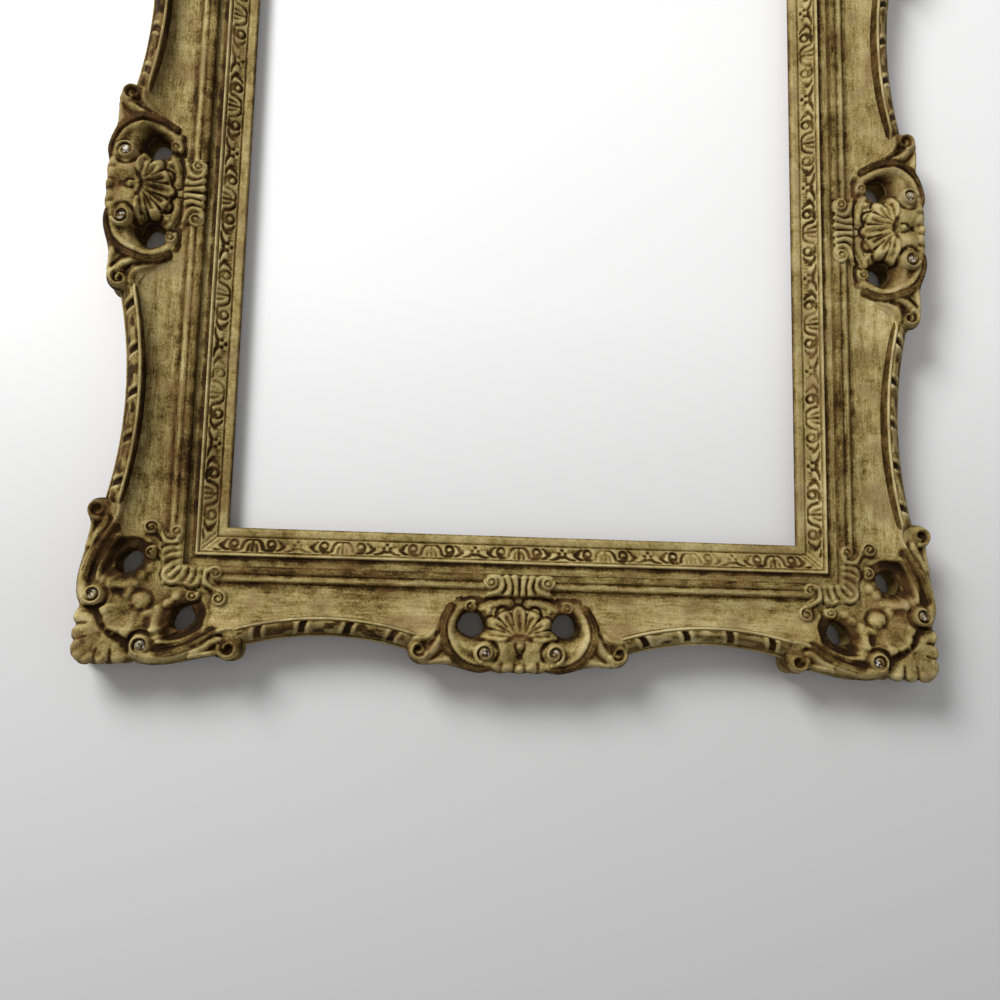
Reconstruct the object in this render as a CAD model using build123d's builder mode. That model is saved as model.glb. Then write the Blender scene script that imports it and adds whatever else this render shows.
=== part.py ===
import os
from math import asin, atan2, cos, degrees, radians, sin

from build123d import *

# Swept picture frame, face up on its back. X is the width, Y the height, Z the
# depth, and the origin is the middle of the back. Each side is drawn on a plane
# whose x runs along the rail, whose y runs outward from the sight edge and whose
# z is the depth. Each corner is drawn on a plane at the sight corner, with x and
# y both outward. All sizes are in millimetres.

# Opening and picture rabbet
opening_width = 275.0
opening_height = 322.0
rabbet_width = 6.0
rabbet_depth = 6.5

# Carved sight band
band_width = 14.0
lip_width = 4.6
lip_thickness = 3.0
lip_round = 0.8
band_rise = 3.6
band_bead_width = 1.8
band_bead_height = 1.2
quirk = 0.6

# Rail moulding, outward from the band
flat_width = 4.8
flat_height = 12.6
astragal_width = 7.8
astragal_height = 16.4
astragal_crown = 1.0
cove_low = 14.4
cove_high = 25.0
cove_width = 27.4
cove_hollow = 3.4
back_width = 38.0
side_height = 9.0

# Waist, the hollow outline between the ornaments, and its rope edge
waist_reach = 50.0
waist_hollow = 7.5
rope_width = 9.0
rope_top = 24.2
rope_ridge = 1.7
rope_quirk = 0.9
rope_edge_height = 17.0
rope_fillet = 0.9
rope_swell = 1.3
rope_foot = 7.0
groove_pitch = 20.0
groove_width = 3.0
groove_lean = 42.0

# Seats of the pierced ornaments
seat_reach = 29.5
ornament_back = 3.0
ornament_edge = 22.4
housing_floor = 14.4
tongue_top = 16.8
leaf_top = 19.4
wing_top = 22.0
fit_gap = 0.2
weld = 1.5

# Pierced volute, the form that centres and corners share
lobe_radius = 15.0
lobe_reach = 49.6
piercing_radius = 6.0
piercing_reach = 43.0
scroll_width = 4.6
scroll_crest = 1.8
scroll_top = 25.4
eye_radius = 5.2
eye_reach = 56.6
eye_top = 28.0
knob_sides = 8
knob_crown = 0.55
button_radius = 4.8
button_reach = 57.0
button_top = 26.0
curl_radius = 2.6

# Carved lobe, as parts of its own length and width
petal_root = 0.55
petal_belly = 0.75
petal_end = 0.5
petal_crest = 0.45

# Centre ornament, measured along the rail from its middle
centre_lobe = 21.5
centre_piercing = 21.8
centre_eye = 15.4
centre_button = 45.4
centre_scroll_start = -100.0
centre_scroll_sweep = 222.0
centre_edge = 63.8
shell_root = 51.5
shell_length = 15.5
shell_width = 5.6
shell_count = 7
shell_spread = 132.0
shell_top = 25.0
palmette_half = 16.4
palmette_root = 31.0
palmette_length = 11.6
palmette_width = 4.4
palmette_count = 5
palmette_spread = 104.0
palmette_curl = (13.2, 23.4)
ear_length = 14.5
ear_width = 6.0
ear_lift = 24.0
ear_top = 21.0
drop_place = 7.6
drop_radius = 2.2

# Corner ornament, measured outward from the sight corner
corner_reach = 65.3
corner_lobe = 19.0
corner_piercing = 18.4
corner_eye = 35.0
corner_button = -3.4
corner_scroll_centre = (28.0, 37.0)
corner_scroll_radius = 25.6
corner_scroll_start = 70.0
corner_scroll_sweep = 74.0
comb_start = -1.0
comb_length = 10.6
comb_width = 4.2
comb_count = 5
comb_spread = 124.0
comb_curl = (4.0, 24.0)
boss_place = 36.0
boss_radius = 4.2
boss_top = 23.5
tip_root = 46.0
tip_length = 24.0
tip_width = 9.0
tip_count = 5
tip_spread = 104.0
tip_top = 25.0

# Mitre keys let into the corners
key_thickness = 3.0
key_height = 5.0
key_leg = 22.0
key_gap = 0.1

# Turn buttons that hold the picture in its rabbet
turn_offset = 116.0
turn_pivot = 17.0
turn_reach = 16.0
turn_tail = 5.0
turn_width = 9.0
turn_thickness = 1.2
turn_gap = 0.2
turn_recess = 3.2
recess_margin = 1.5

# Hanging rings on the two long rails
hanger_offset = 74.0
hanger_line = 26.0
hanger_recess = 6.0
hanger_margin = 2.0
strap_width = 12.0
strap_length = 26.0
strap_thickness = 1.2
strap_screws = (8.0, 20.0)
wire_radius = 1.2
wire_gap = 0.1
ring_width = 18.0
ring_end_width = 11.0
ring_length = 17.0
ring_thickness = 1.8
ring_bar = 2.2

# Round-head wood screws
screw_radius = 1.5
screw_length = 6.5
screw_head_radius = 3.0
screw_head_height = 1.2
screw_gap = 0.1

# Worked-out values
half_width = opening_width / 2
half_height = opening_height / 2
lip_top = rabbet_depth + lip_thickness
band_top = lip_top + band_rise
bead_top = band_top + band_bead_height
astragal_start = band_width + flat_width
cove_start = astragal_start + astragal_width
cove_end = cove_start + cove_width
lobe_seat = seat_reach + lobe_radius
lobe_middle = (lobe_seat + lobe_reach) / 2
relief_low = housing_floor + weld
turn_low = turn_recess - turn_gap - turn_thickness
turn_screw_low = turn_low - screw_gap - screw_head_height
knuckle_radius = wire_radius + wire_gap + strap_thickness
knuckle_height = hanger_recess - knuckle_radius
strap_low = hanger_recess - strap_thickness

# Planes of the sides and of the corners, with the half lengths of their rails
UP = (0, 0, 1)
sides = {
    "top": (Plane((0, half_height, 0), (1, 0, 0), UP), half_width),
    "right": (Plane((half_width, 0, 0), (0, -1, 0), UP), half_height),
    "bottom": (Plane((0, -half_height, 0), (-1, 0, 0), UP), half_width),
    "left": (Plane((-half_width, 0, 0), (0, 1, 0), UP), half_height),
}
corners = {
    "top_right": (Plane((half_width, half_height, 0), (1, 0, 0), UP), half_width, half_height),
    "bottom_right": (Plane((half_width, -half_height, 0), (0, -1, 0), UP), half_height, half_width),
    "bottom_left": (Plane((-half_width, -half_height, 0), (-1, 0, 0), UP), half_width, half_height),
    "top_left": (Plane((-half_width, half_height, 0), (0, 1, 0), UP), half_height, half_width),
}
turn_places = {
    "top": {"turn_button_top": 0.0},
    "right": {"turn_button_right_upper": -turn_offset, "turn_button_right_lower": turn_offset},
    "bottom": {"turn_button_bottom": 0.0},
    "left": {"turn_button_left_lower": -turn_offset, "turn_button_left_upper": turn_offset},
}
# Each hanger's place along its rail, and the sense along it that points up the wall
hanger_places = {"right": (-hanger_offset, -1), "left": (hanger_offset, 1)}


def spot(base, along, out, height=0.0, turn=0.0):
    """A plane moved within a side or corner plane and turned about the depth."""
    return Plane(base.location * Location((along, out, height), (0, 0, turn)))


def upright(base):
    """The standing plane of a spot: x as it was, y up."""
    return Plane(base.origin, base.x_dir, -base.y_dir)


def section(base):
    """The cross-section plane of a side: x outward, y up."""
    return Plane(base.origin, base.y_dir, base.x_dir)


class Waist:
    """The hollow arc of one side, between its centre and corner ornaments."""

    def __init__(self, half_length):
        far = half_length + corner_button
        half_span = (far - centre_button) / 2
        self.middle = (far + centre_button) / 2
        self.radius = (half_span**2 + waist_hollow**2) / (2 * waist_hollow)
        self.centre = waist_reach + self.radius
        self.rope_angle = degrees(asin((half_span - button_radius - fit_gap) / self.radius))

    def angle(self, length):
        return degrees(length / self.radius)


def outline(*points):
    """Fill a closed polygon in the sketch in hand."""
    with BuildLine() as line:
        Polyline(*points, close=True)
    make_face(line.edges())


def rectangle(low, high):
    """A rectangle between two opposite corners in the sketch in hand."""
    with Locations(((low[0] + high[0]) / 2, (low[1] + high[1]) / 2)):
        Rectangle(high[0] - low[0], high[1] - low[1])


def swapped(point, swap):
    return (point[1], point[0]) if swap else point


def mitre(base, half_length):
    """Cut both ends of the part in hand at 45 degrees through the sight corners."""
    for end in (1, -1):
        corner = spot(base, end * half_length, 0).origin
        split(bisect_by=Plane(corner, z_dir=base.x_dir * end - base.y_dir), keep=Keep.BOTTOM)


def wing(middle, waist, start, sweep_angle):
    """Ring sector that carries the rope's line on into an ornament."""
    with BuildLine() as line:
        outer = CenterArc(middle, waist.radius, start, sweep_angle)
        inner = CenterArc(middle, waist.radius + rope_width - fit_gap, start, sweep_angle)
        Line(outer @ 0, inner @ 0)
        Line(outer @ 1, inner @ 1)
    make_face(line.edges())


def petal(plane, length, width, height):
    """One carved lobe, a kite along the plane's x that slopes up to a crest."""
    half = width / 2
    root = petal_root * half
    tip = petal_end * half
    with BuildSketch(plane) as face:
        outline(
            (0, -root), (petal_belly * length, -half), (length, -tip),
            (length, tip), (petal_belly * length, half), (0, root),
        )
    taper = degrees(atan2((1 - petal_crest) * min(root, tip), height))
    extrude(face.sketch, amount=height, taper=taper)


def knob(plane, radius, height):
    """A volute eye, rope-end scroll or boss, narrowing to its crown."""
    with BuildSketch(plane) as face:
        RegularPolygon(radius, knob_sides)
    extrude(face.sketch, amount=height, taper=degrees(atan2(radius * (1 - knob_crown), height)))


def scroll(plane, radius, start, sweep_angle):
    """A C-scroll: a crested band turned about the z of a plane at the back."""
    foot = scroll_width / 2
    crest = scroll_crest / 2
    turned = upright(Plane(plane.location * Location((0, 0, 0), (0, 0, start))))
    with BuildSketch(turned) as face:
        outline(
            (radius - foot, relief_low), (radius + foot, relief_low),
            (radius + crest, scroll_top), (radius - crest, scroll_top),
        )
    revolve(face.sketch, axis=Axis(plane.origin, plane.z_dir), revolution_arc=sweep_angle)


def face_slope(base):
    """The slanting face of an ornament, rising from its seat to its outer edge."""
    run = Vector(0, corner_reach - seat_reach, ornament_edge - tongue_top)
    low = spot(base, 0, seat_reach, tongue_top)
    along = low.y_dir * run.Y + low.z_dir * run.Z
    return Plane(low.origin, low.x_dir, low.x_dir.cross(along))


def key_face():
    """The triangle of a mitre key on a corner plane."""
    outline((seat_reach, seat_reach), (seat_reach, seat_reach - key_leg), (seat_reach - key_leg, seat_reach))


# Rails: rabbet, flat, astragal, cove and hollow outer edge
def build_rail(name):
    base, half_length = sides[name]
    waist = Waist(half_length)
    shoulder = astragal_height - astragal_crown
    crown = astragal_start + astragal_width / 2
    with BuildPart() as rail:
        with BuildSketch(section(base)):
            with BuildLine():
                Polyline(
                    (cove_end, cove_high), (cove_end, side_height), (back_width, 0), (rabbet_width, 0),
                    (rabbet_width, rabbet_depth), (band_width, rabbet_depth), (band_width, flat_height),
                    (astragal_start, flat_height), (astragal_start, shoulder),
                )
                SagittaArc((astragal_start, shoulder), (crown, shoulder), astragal_crown)
                SagittaArc((crown, shoulder), (cove_start, cove_low), astragal_crown)
                SagittaArc((cove_start, cove_low), (cove_end, cove_high), -cove_hollow)
            make_face()
        extrude(amount=half_length + cove_end, both=True)
        mitre(base, half_length)
        # Hollow outer edge behind the two ropes
        with BuildSketch(base):
            with Locations((waist.middle, waist.centre), (-waist.middle, waist.centre)):
                Circle(waist.radius + rope_width)
        extrude(amount=cove_high, mode=Mode.SUBTRACT)
        # Openings for the centre ornament and for the two corner ornaments
        clear = lobe_radius + fit_gap
        with BuildSketch(base):
            rectangle((-centre_lobe, seat_reach), (centre_lobe, cove_end))
            rectangle((-centre_lobe - clear, lobe_seat), (centre_lobe + clear, cove_end))
            with Locations((-centre_lobe, lobe_seat), (centre_lobe, lobe_seat)):
                Circle(clear)
            lobe = half_length + corner_lobe
            tip = half_length + cove_end
            for low, high in ((lobe, tip), (-tip, -lobe)):
                rectangle((low, seat_reach), (high, cove_end))
            for low, high in ((lobe - clear, tip), (-tip, clear - lobe)):
                rectangle((low, lobe_seat), (high, cove_end))
            with Locations((-lobe, lobe_seat), (lobe, lobe_seat)):
                Circle(clear)
        extrude(amount=cove_high, mode=Mode.SUBTRACT)
        # Housings where the leaves of the ornaments lie over the astragal
        lap = half_length + comb_start - fit_gap
        palm = palmette_half + fit_gap
        with BuildSketch(base.offset(housing_floor)):
            for low, high in ((-palm, palm), (lap, tip), (-tip, -lap)):
                rectangle((low, astragal_start), (high, seat_reach))
        extrude(amount=cove_high, mode=Mode.SUBTRACT)
        # Slots for the mitre keys
        for corner_name, (corner, _, _) in corners.items():
            if name in corner_name:
                with BuildSketch(corner.offset(key_height)):
                    key_face()
        extrude(amount=key_thickness + key_gap, mode=Mode.SUBTRACT)
        # Recesses and pilot holes for the turn buttons
        for along in turn_places[name].values():
            with BuildSketch(base):
                rectangle(
                    (along - turn_tail - recess_margin, rabbet_width - recess_margin),
                    (along + turn_reach + recess_margin, turn_pivot + turn_width / 2 + recess_margin),
                )
            extrude(amount=turn_recess, mode=Mode.SUBTRACT)
            with BuildSketch(base):
                with Locations((along, turn_pivot)):
                    Circle(screw_radius + screw_gap)
            extrude(amount=turn_screw_low + screw_head_height + screw_length, mode=Mode.SUBTRACT)
        # Recess and pilot holes for the hanging ring
        if name in hanger_places:
            along, rise = hanger_places[name]
            half = ring_width / 2 + hanger_margin
            upper = along + rise * (ring_length + hanger_margin)
            lower = along - rise * (strap_length + hanger_margin)
            with BuildSketch(base):
                rectangle((min(lower, upper), hanger_line - half), (max(lower, upper), hanger_line + half))
            extrude(amount=hanger_recess, mode=Mode.SUBTRACT)
            with BuildSketch(base):
                with Locations(*[(along - rise * place, hanger_line) for place in strap_screws]):
                    Circle(screw_radius + screw_gap)
            extrude(amount=strap_low + screw_length, mode=Mode.SUBTRACT)
    rail.part.label = f"rail_{name}"
    return rail


# Sight bands: lip, sloping ground for the carving and outer bead
def build_band(name):
    base, half_length = sides[name]
    ground_end = band_width - band_bead_width
    with BuildPart() as band:
        with BuildSketch(section(base)):
            outline(
                (0, rabbet_depth), (0, lip_top - lip_round), (lip_round, lip_top),
                (lip_width - quirk, lip_top), (lip_width, lip_top - quirk), (lip_width + quirk, lip_top),
                (ground_end - quirk, band_top), (ground_end, band_top - quirk), (ground_end + quirk, bead_top),
                (band_width - quirk, bead_top), (band_width, band_top), (band_width, rabbet_depth),
            )
        extrude(amount=half_length + band_width, both=True)
        mitre(base, half_length)
    band.part.label = f"sight_band_{name}"
    return band


# Rope edges: a ridge and a swelling roll, cut by slanting grooves
def build_rope(name, side, hand):
    base, half_length = sides[side]
    waist = Waist(half_length)
    pole = spot(base, hand * waist.middle, waist.centre)
    start = -90 - waist.rope_angle
    outer = waist.radius
    inner = waist.radius + rope_width
    crest = inner - rope_ridge
    edge = outer + rope_fillet
    rise = rope_top - rope_edge_height
    run = crest - edge
    with BuildPart() as rope:
        with BuildSketch(upright(spot(pole, 0, 0, 0, start))):
            with BuildLine():
                Polyline(
                    (crest - rope_quirk, rope_top - rope_quirk), (crest, rope_top), (inner, rope_top),
                    (inner, rope_foot), (outer, rope_edge_height - rope_fillet - rope_swell),
                    (outer, rope_edge_height - rope_fillet), (edge, rope_edge_height),
                    (edge + run / 2 - rope_swell, rope_edge_height + rise / 2 + rope_swell), close=True,
                )
            make_face()
        revolve(axis=Axis(pole.origin, pole.z_dir), revolution_arc=2 * waist.rope_angle)
        # Each groove is cut by a square bar on its corner, laid on the slope of the roll
        middle = (edge + (run - rope_swell) / 2, 0, rope_edge_height + (rise + rope_swell) / 2)
        slope = Location(middle, (0, -degrees(atan2(rise, run)), 0))
        lean = Location((0, 0, 0), (0, 0, -hand * groove_lean))
        count = round(radians(2 * waist.rope_angle) * waist.radius / groove_pitch)
        for step in range(count):
            turned = spot(pole, 0, 0, 0, start + 2 * waist.rope_angle * (step + 0.5) / count)
            with Locations(turned.location * slope * lean):
                Box(2 * rope_width, groove_width, groove_width, rotation=(45, 0, 0), mode=Mode.SUBTRACT)
    rope.part.label = name
    return rope


# Centre ornaments: shell, palmette and two pierced volutes
def build_centre(name):
    base, half_length = sides[name]
    waist = Waist(half_length)
    wing_length = centre_button + button_radius + fit_gap - centre_lobe - lobe_radius + 2 * weld
    with BuildPart() as centre:
        with BuildSketch(base.offset(ornament_back)):
            rectangle((-centre_lobe, seat_reach), (centre_lobe, centre_edge))
            for hand in (1, -1):
                with Locations((hand * centre_lobe, lobe_middle)):
                    SlotCenterToCenter(lobe_reach - lobe_seat, 2 * lobe_radius, rotation=90)
                with Locations((hand * centre_piercing, piercing_reach)):
                    Circle(piercing_radius, mode=Mode.SUBTRACT)
        extrude(amount=ornament_edge)
        split(bisect_by=face_slope(base), keep=Keep.BOTTOM)
        with BuildSketch(base.offset(rope_foot)):
            for hand in (1, -1):
                wing(
                    (hand * waist.middle, waist.centre), waist,
                    -90 - hand * waist.rope_angle, -hand * waist.angle(wing_length),
                )
                with Locations((hand * centre_button, button_reach)):
                    RegularPolygon(button_radius, knob_sides)
        extrude(amount=wing_top - rope_foot)
        with BuildSketch(base.offset(housing_floor)):
            rectangle((-palmette_half, astragal_start), (palmette_half, seat_reach + weld))
        extrude(amount=tongue_top - housing_floor)
        for hand in (1, -1):
            start = centre_scroll_start if hand > 0 else 180 - centre_scroll_start - centre_scroll_sweep
            scroll(
                spot(base, hand * centre_lobe, lobe_middle), lobe_radius - scroll_width / 2,
                start, centre_scroll_sweep,
            )
            raised = spot(base, 0, 0, relief_low)
            knob(spot(raised, hand * centre_eye, eye_reach), eye_radius, eye_top - relief_low)
            knob(spot(raised, hand * centre_button, button_reach), button_radius, button_top - relief_low)
            knob(spot(raised, hand * palmette_curl[0], palmette_curl[1]), curl_radius, leaf_top - relief_low)
            ear = spot(raised, 0, palmette_root, 0, 90 - hand * (90 - ear_lift))
            petal(ear, ear_length, ear_width, ear_top - relief_low)
        for step in range(shell_count):
            turn = -90 + shell_spread * (step / (shell_count - 1) - 0.5)
            petal(spot(raised, 0, shell_root, 0, turn), shell_length, shell_width, shell_top - relief_low)
        for step in range(palmette_count):
            turn = -90 + palmette_spread * (step / (palmette_count - 1) - 0.5)
            leaf = spot(raised, 0, palmette_root, 0, turn)
            petal(leaf, palmette_length, palmette_width, leaf_top - relief_low)
        for along in (-drop_place, 0, drop_place):
            knob(spot(raised, along, centre_edge - drop_radius / 2), drop_radius, button_top - relief_low)
    centre.part.label = f"centre_ornament_{name}"
    return centre


# Corner ornaments: comb of leaves, two pierced volutes and the scalloped tip
def build_corner(name):
    base, half_x, half_y = corners[name]
    wing_length = corner_lobe - lobe_radius - corner_button + button_radius + fit_gap + 2 * weld
    shelf = lobe_reach + lobe_radius - weld
    blunt = tip_root + tip_length / 2
    diagonal = Plane(base.origin, z_dir=base.x_dir - base.y_dir)
    with BuildPart() as corner:
        # One half of the body, up to the diagonal, and its mirror image
        with BuildSketch(base.offset(ornament_back)):
            outline(
                (corner_lobe, seat_reach), (seat_reach, seat_reach), (blunt, blunt),
                (2 * blunt - shelf, shelf), (corner_lobe, shelf),
            )
            with Locations((corner_lobe, lobe_middle)):
                SlotCenterToCenter(lobe_reach - lobe_seat, 2 * lobe_radius, rotation=90)
            with Locations((corner_piercing, piercing_reach)):
                Circle(piercing_radius, mode=Mode.SUBTRACT)
        extrude(amount=ornament_edge)
        split(bisect_by=diagonal, keep=Keep.BOTTOM)
        split(bisect_by=face_slope(base), keep=Keep.BOTTOM)
        mirror(about=diagonal)
        with BuildSketch(base.offset(rope_foot)):
            for swap, half_length in ((False, half_x), (True, half_y)):
                waist = Waist(half_length)
                start = waist.rope_angle - 90
                wing(
                    swapped((waist.middle - half_length, waist.centre), swap), waist,
                    90 - start if swap else start, waist.angle(wing_length) * (-1 if swap else 1),
                )
                with Locations(swapped((corner_button, button_reach), swap)):
                    RegularPolygon(button_radius, knob_sides)
        extrude(amount=wing_top - rope_foot)
        with BuildSketch(base.offset(housing_floor)):
            rectangle((comb_start, astragal_start), (seat_reach + weld, seat_reach))
            rectangle((astragal_start, comb_start), (seat_reach, seat_reach + weld))
        extrude(amount=tongue_top - housing_floor)
        raised = spot(base, 0, 0, relief_low)
        for swap in (False, True):
            start = corner_scroll_start
            scroll(
                spot(base, *swapped(corner_scroll_centre, swap)), corner_scroll_radius,
                90 - start - corner_scroll_sweep if swap else start, corner_scroll_sweep,
            )
            knob(spot(raised, *swapped((corner_eye, eye_reach), swap)), eye_radius, eye_top - relief_low)
            button = spot(raised, *swapped((corner_button, button_reach), swap))
            knob(button, button_radius, button_top - relief_low)
            knob(spot(raised, *swapped(comb_curl, swap)), curl_radius, leaf_top - relief_low)
        for step in range(comb_count):
            turn = 45 + comb_spread * (step / (comb_count - 1) - 0.5)
            leaf = spot(raised, astragal_start, astragal_start, 0, turn)
            petal(leaf, comb_length, comb_width, leaf_top - relief_low)
        for step in range(tip_count):
            turn = 45 + tip_spread * (step / (tip_count - 1) - 0.5)
            square = max(cos(radians(turn)), sin(radians(turn)))
            length = min(tip_length, (corner_reach - tip_root) / square)
            petal(spot(raised, tip_root, tip_root, 0, turn), length, tip_width, tip_top - relief_low)
        knob(spot(raised, boss_place, boss_place), boss_radius, boss_top - relief_low)
    corner.part.label = f"corner_ornament_{name}"
    return corner


# Mitre keys
def build_key(name):
    with BuildPart() as key:
        with BuildSketch(corners[name][0].offset(key_height)):
            key_face()
        extrude(amount=key_thickness)
    key.part.label = f"mitre_key_{name}"
    return key


# Turn buttons, drawn turned aside, along the rail
def build_turn_button(name, side, along):
    with BuildPart() as button:
        with BuildSketch(spot(sides[side][0], along, turn_pivot, turn_low)):
            with Locations(((turn_reach - turn_tail) / 2, 0)):
                SlotOverall(turn_reach + turn_tail, turn_width)
            Circle(screw_radius + screw_gap, mode=Mode.SUBTRACT)
        extrude(amount=turn_thickness)
    button.part.label = name
    return button


# Hanger straps, folded round the ring's bar
def build_strap(name):
    along, rise = hanger_places[name]
    place = spot(sides[name][0], along, hanger_line, 0, 90 + 90 * rise)
    knuckle = Plane(spot(place, 0, 0, knuckle_height).origin, z_dir=place.y_dir)
    with BuildPart() as strap:
        with BuildSketch(place.offset(strap_low)):
            rectangle((0, -strap_width / 2), (strap_length, strap_width / 2))
            with Locations(*[(screw, 0) for screw in strap_screws]):
                Circle(screw_radius + screw_gap, mode=Mode.SUBTRACT)
        extrude(amount=strap_thickness)
        with BuildSketch(knuckle):
            Circle(knuckle_radius)
        extrude(amount=strap_width / 2, both=True)
        with BuildSketch(knuckle):
            Circle(wire_radius + wire_gap)
        extrude(amount=strap_width / 2, both=True, mode=Mode.SUBTRACT)
    strap.part.label = f"hanger_strap_{name}"
    return strap


# Hanging rings, folded flat and pointing up the wall
def build_ring(name):
    along, rise = hanger_places[name]
    place = spot(sides[name][0], along, hanger_line, knuckle_height, 90 - 90 * rise)
    half = ring_width / 2
    end_half = ring_end_width / 2
    with BuildPart() as ring:
        with BuildSketch(place):
            outline(
                (-wire_radius, -half), (ring_length, -end_half),
                (ring_length, end_half), (-wire_radius, half),
            )
            far = ring_length - ring_bar
            with BuildLine():
                Polyline(
                    (-wire_radius, ring_bar - half), (far, ring_bar - end_half),
                    (far, end_half - ring_bar), (-wire_radius, half - ring_bar), close=True,
                )
            make_face(mode=Mode.SUBTRACT)
        extrude(amount=ring_thickness / 2, both=True)
        with BuildSketch(Plane(place.origin, z_dir=place.y_dir)):
            Circle(wire_radius)
        extrude(amount=half - ring_bar / 2, both=True)
    ring.part.label = f"hanging_ring_{name}"
    return ring


def screw(plane):
    """One screw, head down, its shank along the plane's z."""
    with BuildSketch(plane) as head:
        Circle(screw_head_radius)
    extrude(head.sketch, amount=screw_head_height)
    with BuildSketch(plane.offset(screw_head_height)) as shank:
        Circle(screw_radius)
    extrude(shank.sketch, amount=screw_length)


# Screws, one group for the turn buttons and one for the hangers
def build_turn_screws():
    with BuildPart() as screws:
        for side, places in turn_places.items():
            for along in places.values():
                screw(spot(sides[side][0], along, turn_pivot, turn_screw_low))
    screws.part.label = "turn_button_screws"
    return screws


def build_hanger_screws():
    with BuildPart() as screws:
        for name, (along, rise) in hanger_places.items():
            for place in strap_screws:
                screw(spot(sides[name][0], along - rise * place, hanger_line, strap_low - screw_head_height))
    screws.part.label = "hanger_screws"
    return screws


pieces = []
for side in sides:
    pieces.append(build_rail(side))
    pieces.append(build_band(side))
    pieces.append(build_centre(side))
    for button, along in turn_places[side].items():
        pieces.append(build_turn_button(button, side, along))
for corner in corners:
    pieces.append(build_corner(corner))
    pieces.append(build_key(corner))
for rope, side, hand in (
    ("rope_edge_top_right", "top", 1), ("rope_edge_top_left", "top", -1),
    ("rope_edge_right_lower", "right", 1), ("rope_edge_right_upper", "right", -1),
    ("rope_edge_bottom_left", "bottom", 1), ("rope_edge_bottom_right", "bottom", -1),
    ("rope_edge_left_upper", "left", 1), ("rope_edge_left_lower", "left", -1),
):
    pieces.append(build_rope(rope, side, hand))
for side in hanger_places:
    pieces.append(build_strap(side))
    pieces.append(build_ring(side))
pieces.append(build_turn_screws())
pieces.append(build_hanger_screws())

os.makedirs("parts", exist_ok=True)
for piece in pieces:
    export_step(piece.part, f"parts/{piece.part.label}.step")
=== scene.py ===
import math

import bmesh
import bpy
import numpy as np
from mathutils import Matrix, Vector


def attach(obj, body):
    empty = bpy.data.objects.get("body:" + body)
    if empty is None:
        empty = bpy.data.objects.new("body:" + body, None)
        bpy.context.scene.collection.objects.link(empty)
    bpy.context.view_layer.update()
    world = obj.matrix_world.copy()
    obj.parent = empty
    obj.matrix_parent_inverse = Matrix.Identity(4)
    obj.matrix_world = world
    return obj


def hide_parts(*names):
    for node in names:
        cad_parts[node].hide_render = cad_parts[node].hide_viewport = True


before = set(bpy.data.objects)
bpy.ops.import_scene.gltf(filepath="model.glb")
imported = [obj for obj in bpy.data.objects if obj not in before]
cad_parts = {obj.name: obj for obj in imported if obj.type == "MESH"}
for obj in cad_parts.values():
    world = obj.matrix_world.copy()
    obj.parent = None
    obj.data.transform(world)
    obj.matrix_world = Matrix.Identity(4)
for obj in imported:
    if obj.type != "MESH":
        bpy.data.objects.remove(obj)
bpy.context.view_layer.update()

# Shapes are worked out in millimetres: a runs along a side from its middle, d outward from the sight
# edge and z up from the back. Corners use p and q, both outward from the sight corner.
MM = 0.001
HALF_W = 137.5
HALF_H = 161.0
SIDES = {
    "top": ((0, HALF_H), (1, 0), (0, 1), HALF_W),
    "right": ((HALF_W, 0), (0, -1), (1, 0), HALF_H),
    "bottom": ((0, -HALF_H), (-1, 0), (0, -1), HALF_W),
    "left": ((-HALF_W, 0), (0, 1), (-1, 0), HALF_H),
}
CORNERS = {
    "top_right": ((HALF_W, HALF_H), (1, 0), (0, 1)),
    "bottom_right": ((HALF_W, -HALF_H), (0, -1), (1, 0)),
    "bottom_left": ((-HALF_W, -HALF_H), (-1, 0), (0, -1)),
    "top_left": ((-HALF_W, HALF_H), (0, 1), (-1, 0)),
}
# Each side's two rope edges: the one where a is positive, then the one where it is negative
ROPES = {
    "top": ("right", "left"), "right": ("lower", "upper"),
    "bottom": ("left", "right"), "left": ("upper", "lower"),
}
# Cell of the carvings' grids, their highest point, and how softly their forms run together
GRID = 0.4
CREST = 27.8
SOFT = 0.9
# Top of the ground under the ornaments, heights of their flat backs, and the rolls of their edges
GROUND_TOP = 21.4
CORE_BACK = 3.0
WING_BACK = 7.0
RIM_ROLL = 2.4
HOLE_ROLL = 2.0
# Rail moulding: a flat, two beads and the cove, with their widths and heights
FLAT_END = 18.8
BEAD = 3.9
COVE_START = FLAT_END + 2 * BEAD
COVE_WIDTH = 27.4
FLAT_TOP = 12.6
BEAD_FOOT = 15.4
COVE_FOOT = BEAD_FOOT - 1
COVE_RISE = 10.6
COVE_SAG = 3.4


def smooth(x, low, high):
    """0 up to low, rising softly to 1 at high."""
    t = np.clip((np.asarray(x, float) - low) / (high - low), 0, 1)
    return t * t * (3 - 2 * t)


def fall(x, low, high):
    """1 up to low, falling to 0 at high."""
    return 1 - smooth(x, low, high)


def hump(x, w):
    """A parabola that is 1 at 0 and 0 from w on."""
    return np.clip(1 - (x / w) ** 2, 0, 1)


def blur(field, sigma):
    """Gaussian blur of a grid, sigma in cells."""
    n = max(1, int(3 * sigma))
    kernel = np.exp(-0.5 * (np.arange(-n, n + 1) / sigma) ** 2)
    kernel /= kernel.sum()

    def soften(row):
        return np.convolve(np.pad(row, n, mode="edge"), kernel, mode="valid")

    for axis in (0, 1):
        field = np.apply_along_axis(soften, axis, field)
    return field


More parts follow.
